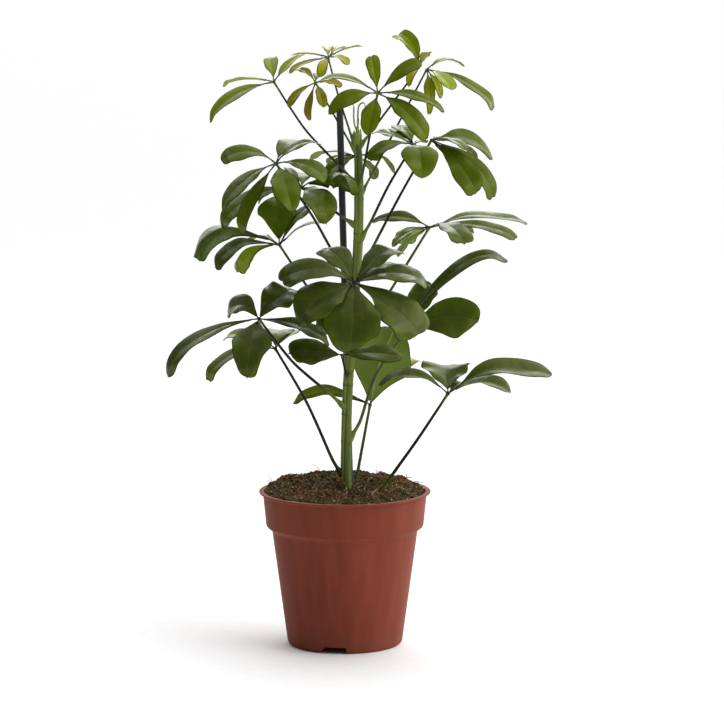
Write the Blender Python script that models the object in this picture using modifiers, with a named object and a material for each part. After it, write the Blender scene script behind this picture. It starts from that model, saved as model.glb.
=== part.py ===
"""Umbrella plant (Schefflera arboricola) in a plastic nursery pot, with its soil and stake.

Built in metres, +Z up, with the origin at the centre of the pot's base on the resting surface.
+X is the plant's right as it is usually seen and -Y is its front. The tables hold millimetres.
"""
from math import asin, cos, radians, sin

import bmesh
import bpy
from mathutils import Matrix, Vector

MM = 0.001
GAP = 0.3                      # clearance between pieces that touch

# ---- pot -------------------------------------------------------------------------------------
POT_HEIGHT = 153.0
LIP_RADIUS = 85.0
LIP_THICKNESS = 3.4
COLLAR_TOP_RADIUS = 81.0
COLLAR_FOOT_RADIUS = 78.0
COLLAR_FOOT_HEIGHT = 118.0
BODY_TOP_RADIUS = 72.2
BODY_TOP_HEIGHT = 114.0
BASE_RADIUS = 57.2
BASE_CORNER = 2.5
WALL = 1.4
FLOOR = 2.0
POT_SIDES = 48
CHANNEL_COUNT = 3
CHANNEL_TURN = -104.0          # azimuth of the front drainage channel
CHANNEL_OUTER_WIDTH = 28.0
CHANNEL_INNER_WIDTH = 12.0
CHANNEL_HEIGHT = 6.6
CHANNEL_REACH = 26.0           # how far a channel runs in from the rim
DRAIN_HOLE_RADIUS = 4.0

# ---- soil ------------------------------------------------------------------------------------
SOIL_EDGE_HEIGHT = 146.0
SOIL_CROWN_HEIGHT = 152.5

# ---- stem and stake: (x, y, z, radius) -------------------------------------------------------
STEM = [
    (0, 0, 92, 5.2), (1, 0, 130, 6.2), (1, 0, 158, 6.0), (2, 0, 230, 5.5), (5, 0, 287, 5.6),
    (9, 0, 340, 5.3), (13, 0, 397, 5.2), (14, 0, 455, 4.9), (13, 0, 490, 4.2), (12, 0, 503, 3.4),
]
STEM_SIDES_RESOLUTION = 4
STAKE_FOOT = (8, 14, 45)
STAKE_TOP = (-5, 12, 537)
STAKE_RADIUS = 3.1

# ---- growing tip: each shoot is a thin stalk through (x, y, z) points ------------------------
TIP_KNOB = (12, 0, 506.5, 2.6)
YOUNG_SHOOTS = [
    [(11, 0, 507), (9, -3, 522), (9, -5, 533), (7, -6, 536)],
    [(12, 0, 507), (13, -2, 515), (14, -3, 521)],
    [(13, 0, 507), (13, 3, 522), (14, 3, 533), (19, 2, 536), (20, 1, 531)],
]
SHOOT_RADIUS = 0.8

# ---- leaves ----------------------------------------------------------------------------------
# "foot" is the height on the stem where the leaf stalk sits, or the (x, y) where it leaves the
# soil. "hub" is where the leaflets meet, "faces" the way the whorl's upper side looks, and
# "fold" how far a blade's edges rise, as a share of its half width. "bow" bends the stalk up
# off its straight line, and "bare" is the share of a leaflet with no blade. Each leaflet is
# (right, back, up) from the hub to its tip, then its width, its arch above the straight line
# between those ends, and its roll in degrees.
UP = (0, 0, 1)
LEAVES = {
    "01": dict(foot=453, stalk=1.3, hub=(-70, 35, 555), faces=UP, fold=0.3, bow=-5, leaflets=[
        (-65, -15, -37, 17, 8, -20), (-52, 30, -3, 17, 5, 0), (-4, 34, 25, 18, 3, -10),
        (29, 25, 28, 13, 3, 10)]),
    "02": dict(foot=496, stalk=1.1, hub=(-16, 5, 580), faces=UP, fold=0.25, bow=-1, leaflets=[
        (-36, -5, 3, 10, 3, -5), (-38, -16, -14, 10, 3, -20), (-7, -24, -18, 12, 4, 0),
        (20, -22, -6, 12, 4, 10), (-1, 26, 10, 12, 3, 0), (16, 22, 10, 9, 3, 0),
        (34, -2, 12, 8, 3, 5)]),
    "03": dict(foot=487, stalk=1.1, hub=(-28, -18, 556), faces=UP, fold=0.3, leaflets=[
        (-19, 14, 13, 12, 4, -20), (25, -12, -3, 12, 3, 25), (-26, -10, -23, 12, 4, -30),
        (-7, -10, -36, 11, 3, 0), (8, -20, -22, 13, 3, 0), (2, 22, 9, 10, 2, 0)]),
    "04": dict(foot=454, stalk=1.3, hub=(32, -48, 547), faces=(0, -0.6, 1), fold=0.2, leaflets=[
        (-47, -16, -19, 20, 8, -20), (-57, 12, 13, 16, 9, 10), (-6, 8, 36, 16, 2, 0),
        (42, 6, 31, 17, 4, 20), (65, -8, -16, 16, 8, 5), (48, -18, -43, 23, 8, 15),
        (-10, -20, -39, 22, 3, 0)]),
    "05": dict(foot=490, stalk=1.2, hub=(74, 25, 571), faces=UP, fold=0.25, leaflets=[
        (-21, 20, 33, 15, 6, -45), (-25, -14, 30, 15, 4, -25), (-12, -22, -19, 11, 6, 0),
        (9, -16, 15, 12, 2, 0)]),
    "06": dict(foot=446, stalk=1.2, hub=(81, 48, 567), faces=UP, fold=0.25, leaflets=[
        (38, 22, 4, 14, 8, 10), (24, -30, -18, 22, 5, 0), (69, -5, -36, 15, 8, 15),
        (14, -12, -28, 10, 3, 20), (3, -18, -44, 12, 8, 0)]),
    "07": dict(foot=404, stalk=1.5, hub=(67, -15, 496), faces=UP, fold=0.2, bow=2, leaflets=[
        (-40, 12, 13, 15, 3, -20), (-42, -14, -13, 20, 8, -35), (-23, 40, 15, 12, 3, -10),
        (-15, 34, 18, 20, 4, 0), (8, -36, -30, 34, 12, 0), (12, 30, 2, 10, 2, 0)]),
    "08": dict(foot=373, stalk=1.5, hub=(85, 12, 499), faces=UP, fold=0.2, bow=1, leaflets=[
        (62, 18, -19, 19, 12, 30), (34, 34, -6, 16, 6, 0), (14, 38, -1, 9, 3, 0),
        (33, -24, -7, 18, 6, 0), (62, -14, -55, 22, 10, 45), (43, -34, -48, 25, 6, 40),
        (48, 42, -22, 13, 8, 0), (34, 20, -45, 10, 3, 20)]),
    "09": dict(foot=293, stalk=1.6, hub=(84, 40, 411), faces=UP, fold=0.2, leaflets=[
        (100, 36, 5, 22, 8, 10), (86, -16, -8, 18, 8, 15), (33, -50, -10, 28, 10, 0),
        (46, 38, -7, 20, 6, 0), (-57, 5, 6, 16, 8, -35), (-24, 44, -18, 28, 6, 0),
        (-38, -4, -18, 14, 5, -20), (-31, 22, -30, 14, 4, 0)]),
    "10": dict(foot=277, stalk=1.8, hub=(10, -62, 366), faces=(0, -0.35, 1), fold=0.15, leaflets=[
        (-30, 30, 32, 28, 6, 0), (-72, -5, 3, 28, 14, -15), (-55, -30, -36, 40, 8, -10),
        (-32, -8, -49, 24, 6, 0), (-5, -42, -62, 46, 8, 0), (62, -24, -47, 38, 8, 15),
        (71, 2, 1, 28, 10, 5), (40, 25, 33, 26, 6, 0), (46, 45, 14, 22, 4, 0)]),
    "11": dict(foot=357, stalk=1.5, hub=(-66, -35, 479), faces=(0, -0.3, 1), fold=0.15, bow=3,
               leaflets=[
        (-53, -8, 4, 24, 11, -20), (-53, -22, -42, 26, 8, 0), (-35, -22, -65, 18, 6, 0),
        (17, -42, -43, 30, 8, 0), (50, -20, -14, 26, 8, 10), (43, 10, 20, 18, 8, 0),
        (14, 45, 22, 20, 5, 0)]),
    "12": dict(foot=296, stalk=1.5, hub=(-64, 0, 397), faces=UP, fold=0.15, bare=0.3, leaflets=[
        (-84, -8, -10, 26, 22, -45), (-63, -22, -20, 16, 14, -10), (-41, -30, -22, 16, 12, -35),
        (-30, 30, 4, 14, 6, 0), (-5, 25, 46, 36, 4, 0), (30, 20, 38, 16, 4, 10),
        (39, -5, 24, 16, 5, 5)]),
    "13": dict(foot=412, stalk=1.5, hub=(-42, -10, 454), faces=UP, fold=0.15, leaflets=[
        (58, -15, -2, 20, 13, 35), (26, -30, -32, 34, 10, 10), (-45, 26, -16, 16, 6, -20),
        (-80, -6, -37, 24, 12, -35), (-16, 20, 20, 10, 2, 0), (4, 40, 12, 20, 4, 0),
        (34, 22, -22, 22, 6, 20)]),
    "14": dict(foot=445, stalk=1.3, hub=(12, 28, 482), faces=UP, fold=0.2, leaflets=[
        (38, 20, -17, 12, 10, 0), (18, 14, -23, 16, 5, 0), (-30, 20, -7, 14, 5, 0),
        (-30, 0, -17, 18, 3, -40), (-46, 50, -3, 14, 6, 0)]),
    "15": dict(foot=233, stalk=1.7, hub=(-83, -45, 329), faces=UP, fold=0.2, bow=-5, leaflets=[
        (-90, -15, -53, 22, 16, -25), (-33, 20, 4, 22, 11, -15), (33, 22, 28, 30, 4, 10),
        (-11, -45, -50, 35, 8, 0), (70, 16, -25, 14, 6, 15)]),
    "16": dict(foot=168, stalk=1.7, hub=(-68, -10, 296), faces=UP, fold=0.2, bow=3, leaflets=[
        (-69, -12, -28, 16, 12, -5), (-54, 30, 8, 14, 8, -30), (3, 40, 14, 28, 6, 0),
        (20, 30, 16, 14, 3, 0)]),
    "17": dict(foot=262, stalk=1.3, hub=(-3, -22, 291), faces=UP, fold=0.15, leaflets=[
        (-50, -8, 4, 26, 2, -60), (60, -8, -1, 22, 3, 50)]),
    "18": dict(foot=205, stalk=1.8, hub=(61, 20, 310), faces=UP, fold=0.15, bow=7, leaflets=[
        (101, 10, 75, 20, 23, 30), (70, -16, 12, 37, 8, 65), (24, 30, 46, 26, 4, 15)]),
    "19": dict(foot=(34, -12), stalk=1.8, hub=(101, -30, 254), faces=UP, fold=0.4, bow=-1,
               leaflets=[
        (-1, 45, 24, 42, 3, 0), (-68, 10, 8, 20, 14, -5), (104, 24, 18, 22, 14, 20),
        (60, -26, 6, 20, 10, 15), (18, 25, 8, 12, 3, 0)]),
    "20": dict(foot=(10, 24), stalk=1.8, hub=(25, 25, 235), faces=UP, fold=0.1, leaflets=[
        (-80, 12, 3, 18, 15, -35), (25, 10, 76, 56, 4, 58), (51, 54, 42, 20, 10, 10)]),
}
HUB_SIZE = 1.5                 # hub radius over stalk radius
STALK_FOOT = 1.15              # stalk radius at its foot and at its hub, over its own radius
STALK_END = 0.75
PETIOLULE_RADIUS = 0.8         # the little stalk of each leaflet
PETIOLULE_SHARE = 0.16         # its share of the leaflet's length, unless "bare" gives another
BLADE_HALF_THICKNESS = 0.6
# Share of the blade's length, and share of its full width there.
BLADE_OUTLINE = [(0.2, 0.55), (0.5, 0.95), (0.78, 0.88), (1.0, 0.14)]
CLASP = 7.0                    # how far a leaf stalk first runs up along the stem
SOIL_DEPTH = 28.0              # how deep a leaf stalk from below goes into the soil


def clear_scene():
    for thing in list(bpy.data.objects):
        bpy.data.objects.remove(thing, do_unlink=True)


def collection(name, parent=None):
    made = bpy.data.collections.new(name)
    (parent or bpy.context.scene.collection).children.link(made)
    return made


def material(name, colour, roughness):
    made = bpy.data.materials.new(name)
    made.use_nodes = True
    made.diffuse_color = (*colour, 1.0)
    shader = made.node_tree.nodes["Principled BSDF"]
    shader.inputs["Base Color"].default_value = (*colour, 1.0)
    shader.inputs["Roughness"].default_value = roughness
    shader.inputs["Metallic"].default_value = 0.0
    return made


def add_object(name, data, group, look=None):
    thing = bpy.data.objects.new(name, data)
    group.objects.link(thing)
    if look is not None:
        data.materials.append(look)
    return thing


def metres(point):
    return Vector(point[:3]) * MM


def rounded(points, steps):
    """Points along a smooth Catmull-Rom curve through the given points (any number of values)."""
    ends = [points[0]] + list(points) + [points[-1]]
    smooth = []
    for a, b, c, d in zip(ends, ends[1:], ends[2:], ends[3:]):
        for step in range(steps):
            t = step / steps
            smooth.append(tuple(
                0.5 * (2 * q + (r - p) * t + (2 * p - 5 * q + 4 * r - s) * t ** 2
                       + (3 * q - p - 3 * r + s) * t ** 3)
                for p, q, r, s in zip(a, b, c, d)))
    smooth.append(tuple(points[-1]))
    return smooth


def tube(name, points, radii, group, look=None, resolution=1):
    """A closed round bar along the points, in millimetres, as a welded mesh."""
    curve = bpy.data.curves.new(name, "CURVE")
    curve.dimensions = "3D"
    curve.bevel_depth = MM
    curve.bevel_resolution = resolution
    curve.use_fill_caps = True
    spline = curve.splines.new("POLY")
    spline.points.add(len(points) - 1)
    for spot, point, radius in zip(spline.points, points, radii):
        spot.co = (*metres(point), 1.0)
        spot.radius = radius
    made = add_object(name + "_curve", curve, group)
    bpy.context.view_layer.update()
    mesh = bpy.data.meshes.new_from_object(made.evaluated_get(bpy.context.evaluated_depsgraph_get()))
    bpy.data.objects.remove(made, do_unlink=True)
    weld(mesh)
    mesh.materials.clear()
    mesh.name = name
    return add_object(name, mesh, group, look)


def weld(mesh):
    shape = bmesh.new()
    shape.from_mesh(mesh)
    bmesh.ops.remove_doubles(shape, verts=shape.verts, dist=1e-6)
    bmesh.ops.recalc_face_normals(shape, faces=shape.faces)
    shape.to_mesh(mesh)
    shape.free()


def cut(target, operation, tool):
    """A live Boolean: tool is an object or a collection of objects."""
    step = target.modifiers.new(operation.title(), "BOOLEAN")
    step.operation = operation
    step.solver = "EXACT"
    if isinstance(tool, bpy.types.Collection):
        step.operand_type = "COLLECTION"
        step.collection = tool
    else:
        step.object = tool


def turned(name, profile, group, look=None):
    """A solid turned about Z from (radius, height) points, given from its top down."""
    mesh = bpy.data.meshes.new(name)
    points = [(radius * MM, 0.0, height * MM) for radius, height in profile]
    mesh.from_pydata(points, [(i, i + 1) for i in range(len(points) - 1)], [])
    made = add_object(name, mesh, group, look)
    screw = made.modifiers.new("Turn", "SCREW")
    screw.steps = POT_SIDES
    screw.render_steps = POT_SIDES
    screw.use_merge_vertices = True
    screw.merge_threshold = 0.00001
    screw.use_normal_calculate = True
    return made


# ---- pot and soil ----------------------------------------------------------------------------
def body_radius(height):
    """The outer radius of the pot's tapered body at a height."""
    share = (height - BASE_CORNER) / (BODY_TOP_HEIGHT - BASE_CORNER)
    return BASE_RADIUS + (BODY_TOP_RADIUS - BASE_RADIUS) * share


def inner_profile(inset):
    """The pot's inside from the lip down to the floor's centre, moved inward by inset."""
    shrink = WALL + inset
    return [
        (COLLAR_TOP_RADIUS - shrink, POT_HEIGHT - LIP_THICKNESS),
        (COLLAR_FOOT_RADIUS - shrink, COLLAR_FOOT_HEIGHT + WALL + inset),
        (BODY_TOP_RADIUS - shrink, BODY_TOP_HEIGHT + WALL + inset),
        (body_radius(FLOOR) - shrink, FLOOR + inset),
        (0.0, FLOOR + inset),
    ]


def channel(name, grow, top, bottom, outer, group):
    """The drainage channels' wedges, narrowing inward from the radius "outer" at the rim."""
    shape = bmesh.new()
    inner = BASE_RADIUS - CHANNEL_REACH - grow
    inner_half = CHANNEL_INNER_WIDTH / 2 + grow
    spread = asin((CHANNEL_OUTER_WIDTH / 2 + grow) / outer)
    outline = [Vector((inner, -inner_half, 0)), Vector((inner, inner_half, 0))]
    for share in (1.0, 0.5, 0.0, -0.5, -1.0):
        outline.append(Vector((outer * cos(share * spread), outer * sin(share * spread), 0)))
    for number in range(CHANNEL_COUNT):
        turn = Matrix.Rotation(radians(CHANNEL_TURN + number * 360.0 / CHANNEL_COUNT), 3, "Z")
        low = [shape.verts.new((turn @ spot + Vector((0, 0, bottom))) * MM) for spot in outline]
        high = [shape.verts.new((turn @ spot + Vector((0, 0, top))) * MM) for spot in outline]
        shape.faces.new(low)
        shape.faces.new(high)
        for side in range(len(outline)):
            shape.faces.new((low[side - 1], low[side], high[side], high[side - 1]))
    bmesh.ops.recalc_face_normals(shape, faces=shape.faces)
    mesh = bpy.data.meshes.new(name)
    shape.to_mesh(mesh)
    shape.free()
    return add_object(name, mesh, group)


def drain_holes(group):
    """One round hole up through each channel's roof."""
    shape = bmesh.new()
    for number in range(CHANNEL_COUNT):
        turn = radians(CHANNEL_TURN + number * 360.0 / CHANNEL_COUNT)
        reach = BASE_RADIUS - CHANNEL_REACH * 0.55
        place = Matrix.Translation(Vector((reach * cos(turn), reach * sin(turn), CHANNEL_HEIGHT)) * MM)
        bmesh.ops.create_cone(
            shape, cap_ends=True, segments=12, radius1=DRAIN_HOLE_RADIUS * MM,
            radius2=DRAIN_HOLE_RADIUS * MM, depth=10 * MM, matrix=place)
    mesh = bpy.data.meshes.new("drain_holes")
    shape.to_mesh(mesh)
    shape.free()
    return add_object("drain_holes", mesh, group)


def make_pot(parts, cutters, look):
    lip_inner = COLLAR_TOP_RADIUS - WALL
    lip_foot = POT_HEIGHT - LIP_THICKNESS
    profile = [
        (lip_inner + 0.8, POT_HEIGHT),
        (LIP_RADIUS - 1.0, POT_HEIGHT),
        (LIP_RADIUS, POT_HEIGHT - 1.0),
        (LIP_RADIUS, lip_foot + 1.0),
        (LIP_RADIUS - 1.0, lip_foot),
        (COLLAR_TOP_RADIUS, lip_foot - 0.8),
        (COLLAR_FOOT_RADIUS, COLLAR_FOOT_HEIGHT + 1.0),
        (COLLAR_FOOT_RADIUS - 1.2, COLLAR_FOOT_HEIGHT - 0.4),
        (BODY_TOP_RADIUS + 1.2, BODY_TOP_HEIGHT + 0.8),
        (BODY_TOP_RADIUS, BODY_TOP_HEIGHT - 1.0),
        (BASE_RADIUS, BASE_CORNER),
        (BASE_RADIUS - 0.8, 0.7),
        (BASE_RADIUS - BASE_CORNER, 0.0),
        (0.0, 0.0),
    ]
    pot = turned("pot", profile + inner_profile(0.0)[::-1] + profile[:1], parts, look)
    roof = CHANNEL_HEIGHT + WALL
    cut(pot, "UNION", channel("channel_roofs", WALL, roof, 1.0, BASE_RADIUS - WALL / 2, cutters))
    cut(pot, "DIFFERENCE", channel("channels", 0, CHANNEL_HEIGHT, -1.0, BASE_RADIUS + 3, cutters))
    cut(pot, "DIFFERENCE", drain_holes(cutters))


def make_soil(parts, cutters, look):
    """A mound that fills the pot, lowest at the rim, with sockets for what stands in it."""
    top = [
        (0.0, SOIL_CROWN_HEIGHT),
        (30.0, SOIL_CROWN_HEIGHT - 0.8),
        (60.0, SOIL_CROWN_HEIGHT - 2.5),
        (COLLAR_TOP_RADIUS - WALL - GAP - 0.4, SOIL_EDGE_HEIGHT),
    ]
    soil = turned("soil", top + inner_profile(GAP)[1:], parts, look)
    roof = CHANNEL_HEIGHT + WALL + GAP
    room = channel("channel_room", WALL + GAP, roof, 1.0, BASE_RADIUS, cutters)
    cut(soil, "DIFFERENCE", room)
    return soil


# ---- stem, stake and growing tip -------------------------------------------------------------
def stem_at(height):
    """The stem's centre (x, y) and radius at a height, between its table's rows."""
    for low, high in zip(STEM, STEM[1:]):
        if low[2] <= height <= high[2]:
            share = (height - low[2]) / (high[2] - low[2])
            x, y, _, radius = (a + (b - a) * share for a, b in zip(low, high))
            return Vector((x, y, height)), radius
    return Vector(STEM[-1][:3]), STEM[-1][3]


def make_stem(parts, cutters, look):
    path = rounded(STEM, 2)
    socket = [(*point[:2], point[2] - GAP if n == 0 else point[2]) for n, point in enumerate(path)]
    tube("stem_socket", socket, [p[3] + GAP for p in path], cutters, None, STEM_SIDES_RESOLUTION)
    return tube("stem", path, [p[3] for p in path], parts, look, STEM_SIDES_RESOLUTION)


def make_stake(parts, cutters, look):
    foot, top = Vector(STAKE_FOOT), Vector(STAKE_TOP)
    deeper = foot - (top - foot).normalized() * GAP
    tube("stake_socket", [deeper, top], [STAKE_RADIUS + GAP] * 2, cutters, None, 3)
    return tube("stake", [foot, top], [STAKE_RADIUS] * 2, parts, look, 3)


def knob(name, centre, radius, group, look=None):
    shape = bmesh.new()
    bmesh.ops.create_uvsphere(
        shape, u_segments=6, v_segments=4, radius=radius * MM,
        matrix=Matrix.Translation(metres(centre)))
    mesh = bpy.data.meshes.new(name)
    shape.to_mesh(mesh)
    shape.free()
    return add_object(name, mesh, group, look)


def make_growing_tip(parts, cutters, look):
    tools = collection("growing_tip_shoots", cutters)
    tip = knob("growing_tip", TIP_KNOB[:3], TIP_KNOB[3], parts, look)
    for number, points in enumerate(YOUNG_SHOOTS, 1):
        path = rounded(points, 2)
        radii = [SHOOT_RADIUS * (1.0 - 0.4 * n / len(path)) for n in range(len(path))]
        tube(f"shoot_{number}", path, radii, tools, None, 0)
    cut(tip, "UNION", tools)


# ---- leaves ----------------------------------------------------------------------------------
def leaf_stalk_path(leaf):
    """The stalk's points from its foot to just short of the hub."""
    hub = Vector(leaf["hub"])
    radius = leaf["stalk"] * STALK_FOOT
    foot = leaf["foot"]
    if isinstance(foot, tuple):
        base = Vector((*foot, SOIL_CROWN_HEIGHT - SOIL_DEPTH))
        neck = Vector((*foot, SOIL_CROWN_HEIGHT))
    else:
        centre, stem_radius = stem_at(foot)
        out = Vector((hub.x - centre.x, hub.y - centre.y, 0)).normalized()
        above, above_radius = stem_at(foot + CLASP)
        base = centre + out * (stem_radius + radius + GAP)
        neck = above + out * (above_radius + radius + GAP + 0.6)
    lean = (hub - neck).normalized()
    end = hub - lean * (leaf["stalk"] * HUB_SIZE + GAP)
    shoulder = neck.lerp(end, 0.12)
    middle = neck.lerp(end, 0.55)
    middle += lean.cross(Vector((-lean.y, lean.x, 0)).normalized()) * leaf.get("bow", 0)
    return rounded([base, neck, shoulder, middle, end], 2)


def make_leaf_stalk(number, leaf, parts, cutters, look):
    path = leaf_stalk_path(leaf)
    last = len(path) - 1
    taper = STALK_FOOT - STALK_END
    radii = [leaf["stalk"] * (STALK_FOOT - taper * n / last) for n in range(last + 1)]
    if isinstance(leaf["foot"], tuple):
        below = [(*path[0][:2], path[0][2] - GAP)] + path[1:]
        tube(f"leaf_{number}_socket", below, [r + GAP for r in radii], cutters)
    return tube(f"leaf_{number}_stalk", path, radii, parts, look)


def make_leaflet(name, leaf, row, group):
    """A thin folded blade on its little stalk, lofted through four-point rings."""
    right, back, up, width, arch, roll = row
    hub = Vector(leaf["hub"])
    chord = Vector((right, back, up))
    along = chord.normalized()
    faces = Vector(leaf["faces"]).normalized()
    rise = (faces - faces.dot(along) * along).normalized()
    level = along.cross(rise)
    turn = radians(roll)
    stations = [(0.8 / chord.length, PETIOLULE_RADIUS, PETIOLULE_RADIUS)]
    bare = leaf.get("bare", PETIOLULE_SHARE)
    stations.append((bare, PETIOLULE_RADIUS, PETIOLULE_RADIUS))
    for share, wide in BLADE_OUTLINE:
        place = bare + (1 - bare) * share
        stations.append((place, wide * width / 2, BLADE_HALF_THICKNESS))
    shape = bmesh.new()
    rings = []
    for place, half, thick in stations:
        centre = hub + chord * place + rise * 4 * arch * place * (1 - place)
        tangent = (chord + rise * 4 * arch * (1 - 2 * place)).normalized()
        upward = level.cross(tangent)
        across = level * cos(turn) - upward * sin(turn)
        normal = upward * cos(turn) + level * sin(turn)
        lift = leaf["fold"] * (half - PETIOLULE_RADIUS)
        ring = [
            centre + across * half + normal * lift,
            centre + normal * thick,
            centre - across * half + normal * lift,
            centre - normal * thick,
        ]
        rings.append([shape.verts.new(corner * MM) for corner in ring])
    shape.faces.new(rings[0])
    shape.faces.new(rings[-1])
    for near, far in zip(rings, rings[1:]):
        for side in range(4):
            following = (side + 1) % 4
            shape.faces.new((near[side], near[following], far[following], far[side]))
    bmesh.ops.recalc_face_normals(shape, faces=shape.faces)
    mesh = bpy.data.meshes.new(name)
    shape.to_mesh(mesh)
    shape.free()
    return add_object(name, mesh, group)


def make_leaf(number, leaf, parts, cutters, stalk_look, blade_look):
    make_leaf_stalk(number, leaf, parts, cutters, stalk_look)
    tools = collection(f"leaf_{number}_blades", cutters)
    for place, row in enumerate(leaf["leaflets"], 1):
        make_leaflet(f"leaf_{number}_blade_{place}", leaf, row, tools)
    whorl = knob(f"leaf_{number}_leaflets", leaf["hub"], leaf["stalk"] * HUB_SIZE, parts, blade_look)
    cut(whorl, "UNION", tools)


def main():
    clear_scene()
    parts = collection("potted_umbrella_plant")
    cutters = collection("cutters")
    cutters.hide_render = True
    pot_look = material("pot_plastic", (0.22, 0.055, 0.03), 0.45)
    soil_look = material("potting_soil", (0.04, 0.022, 0.012), 0.95)
    stem_look = material("stem_green", (0.12, 0.18, 0.03), 0.5)
    stake_look = material("stake_plastic", (0.02, 0.025, 0.03), 0.4)
    stalk_look = material("leaf_stalk_green", (0.06, 0.09, 0.015), 0.45)
    blade_look = material("leaf_green", (0.06, 0.13, 0.015), 0.35)
    tip_look = material("young_shoot_green", (0.22, 0.33, 0.06), 0.45)
    make_pot(parts, cutters, pot_look)
    soil = make_soil(parts, cutters, soil_look)
    make_stem(parts, cutters, stem_look)
    make_stake(parts, cutters, stake_look)
    make_growing_tip(parts, cutters, tip_look)
    for number, leaf in LEAVES.items():
        make_leaf(number, leaf, parts, cutters, stalk_look, blade_look)
    for socket in [thing for thing in cutters.objects if thing.name.endswith("_socket")]:
        cut(soil, "DIFFERENCE", socket)
    for thing in bpy.data.objects:
        if thing.name not in parts.objects:
            thing.hide_render = True
            thing.display_type = "WIRE"


main()
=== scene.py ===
"""Looks for a potted umbrella plant (Schefflera arboricola) in a nursery pot, with soil and stake.

Metres, +Z up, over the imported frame. The leaves, the stem, the stake and the growing tip are read
back from the frame's plain solids and made again in fine detail along the same lines. The pot and
the peat are made from sizes of their own, measured from the pot's lip.
"""
import random
from collections import namedtuple
from itertools import permutations
from math import asin, atan2, cos, exp, pi, radians, sin

import bmesh
import bpy
from mathutils import Matrix, Vector, kdtree, noise


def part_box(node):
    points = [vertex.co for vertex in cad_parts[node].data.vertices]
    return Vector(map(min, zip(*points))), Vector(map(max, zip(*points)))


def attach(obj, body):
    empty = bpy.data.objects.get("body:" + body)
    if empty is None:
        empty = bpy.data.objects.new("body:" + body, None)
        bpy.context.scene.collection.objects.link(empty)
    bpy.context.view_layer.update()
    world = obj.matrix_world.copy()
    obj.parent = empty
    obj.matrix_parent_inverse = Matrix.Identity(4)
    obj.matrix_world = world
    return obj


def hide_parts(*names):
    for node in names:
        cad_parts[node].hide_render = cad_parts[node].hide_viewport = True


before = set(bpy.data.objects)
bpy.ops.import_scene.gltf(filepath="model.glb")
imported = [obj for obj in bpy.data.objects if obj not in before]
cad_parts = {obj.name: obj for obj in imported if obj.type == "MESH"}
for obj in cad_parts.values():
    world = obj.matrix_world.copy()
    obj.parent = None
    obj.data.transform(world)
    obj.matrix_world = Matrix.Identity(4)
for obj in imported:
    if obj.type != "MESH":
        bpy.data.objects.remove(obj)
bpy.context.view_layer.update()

MM = 0.001
UP = Vector((0, 0, 1))
FRONT = Vector((0, -1, 0))

# ---- camera and studio ----
CAMERA_PLACE = (0.017, -2.8, 0.64)
CAMERA_DOWN_DEG = 7.3
CAMERA_LENS_MM = 142.36
CAMERA_SENSOR_MM = 36.0
FLOOR_REACH = 2500.0                     # so far that its edge is lost at the horizon
LAMPS = (                                # (name, place, aim, size, watts)
    ("right_softbox", (1.6, -0.8, 1.4), (0, 0, 0.3), (1.4, 1.4), 20),
    ("left_softbox", (-1.2, 0.65, 2.1), (0, 0, 0.4), (0.9, 0.9), 4.5),
    ("back_strip_light", (-0.2, 2.6, 2.1), (0, 0, 0.4), (2.2, 0.5), 12),
)

# ---- how the frame's solids were made ----
STALK_SIDES = 6
HUB_SIZE = 2.0                           # a hub's radius over that of its stalk's end
GAP = 0.3 * MM                           # between solids that touch
RING_GAP = 2.0 * MM                      # rings of an upright bar are further apart than this
SHOOT_SIDES = 4
SHOOT_RINGS = 4                          # the fewest that a shoot of the growing tip has
TIP_KNOB_HEIGHT = 2.6 * MM               # its centre over the growing tip's lowest point
BLADE_SIDES = 4
BLADE_KNOTS = (0.2, 0.5, 0.78, 1.0)      # shares of a blade's length where a solid has a ring
MID_RING = -3                            # the ring at 0.5, counted back from the tip
MID_RING_SHARE = 0.95                    # its width over the full width
PETIOLULE_SHARE = 0.16                   # the little stalk's share of a whole leaflet's length
SHORTEST_BLADE = 12.0 * MM

# ---- leaves ----
# Outlines of blades, base to tip: (share of the length, share of the full half width).
SPOON = ((0.0, 0.07), (0.08, 0.2), (0.2, 0.46), (0.35, 0.75), (0.5, 0.94), (0.62, 1.0),
         (0.75, 0.98), (0.86, 0.86), (0.93, 0.66), (0.975, 0.4), (1.0, 0.12))
OVAL = ((0.0, 0.07), (0.08, 0.3), (0.2, 0.66), (0.35, 0.93), (0.48, 1.0), (0.62, 0.96),
        (0.75, 0.83), (0.86, 0.63), (0.94, 0.4), (0.98, 0.22), (1.0, 0.06))
STRAP = ((0.0, 0.08), (0.08, 0.28), (0.2, 0.62), (0.35, 0.88), (0.5, 0.98), (0.65, 1.0),
         (0.8, 0.93), (0.9, 0.78), (0.96, 0.56), (1.0, 0.2))
SHIELD = ((0.0, 0.07), (0.08, 0.34), (0.2, 0.76), (0.32, 0.97), (0.42, 1.0), (0.55, 0.93),
          (0.7, 0.75), (0.84, 0.56), (0.93, 0.44), (0.98, 0.3), (1.0, 0.12))
CUT = ((0.0, 0.07), (0.08, 0.2), (0.2, 0.46), (0.35, 0.74), (0.5, 0.91), (0.65, 1.0),
       (0.8, 0.98), (0.9, 0.9), (0.96, 0.76), (1.0, 0.42))
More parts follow.
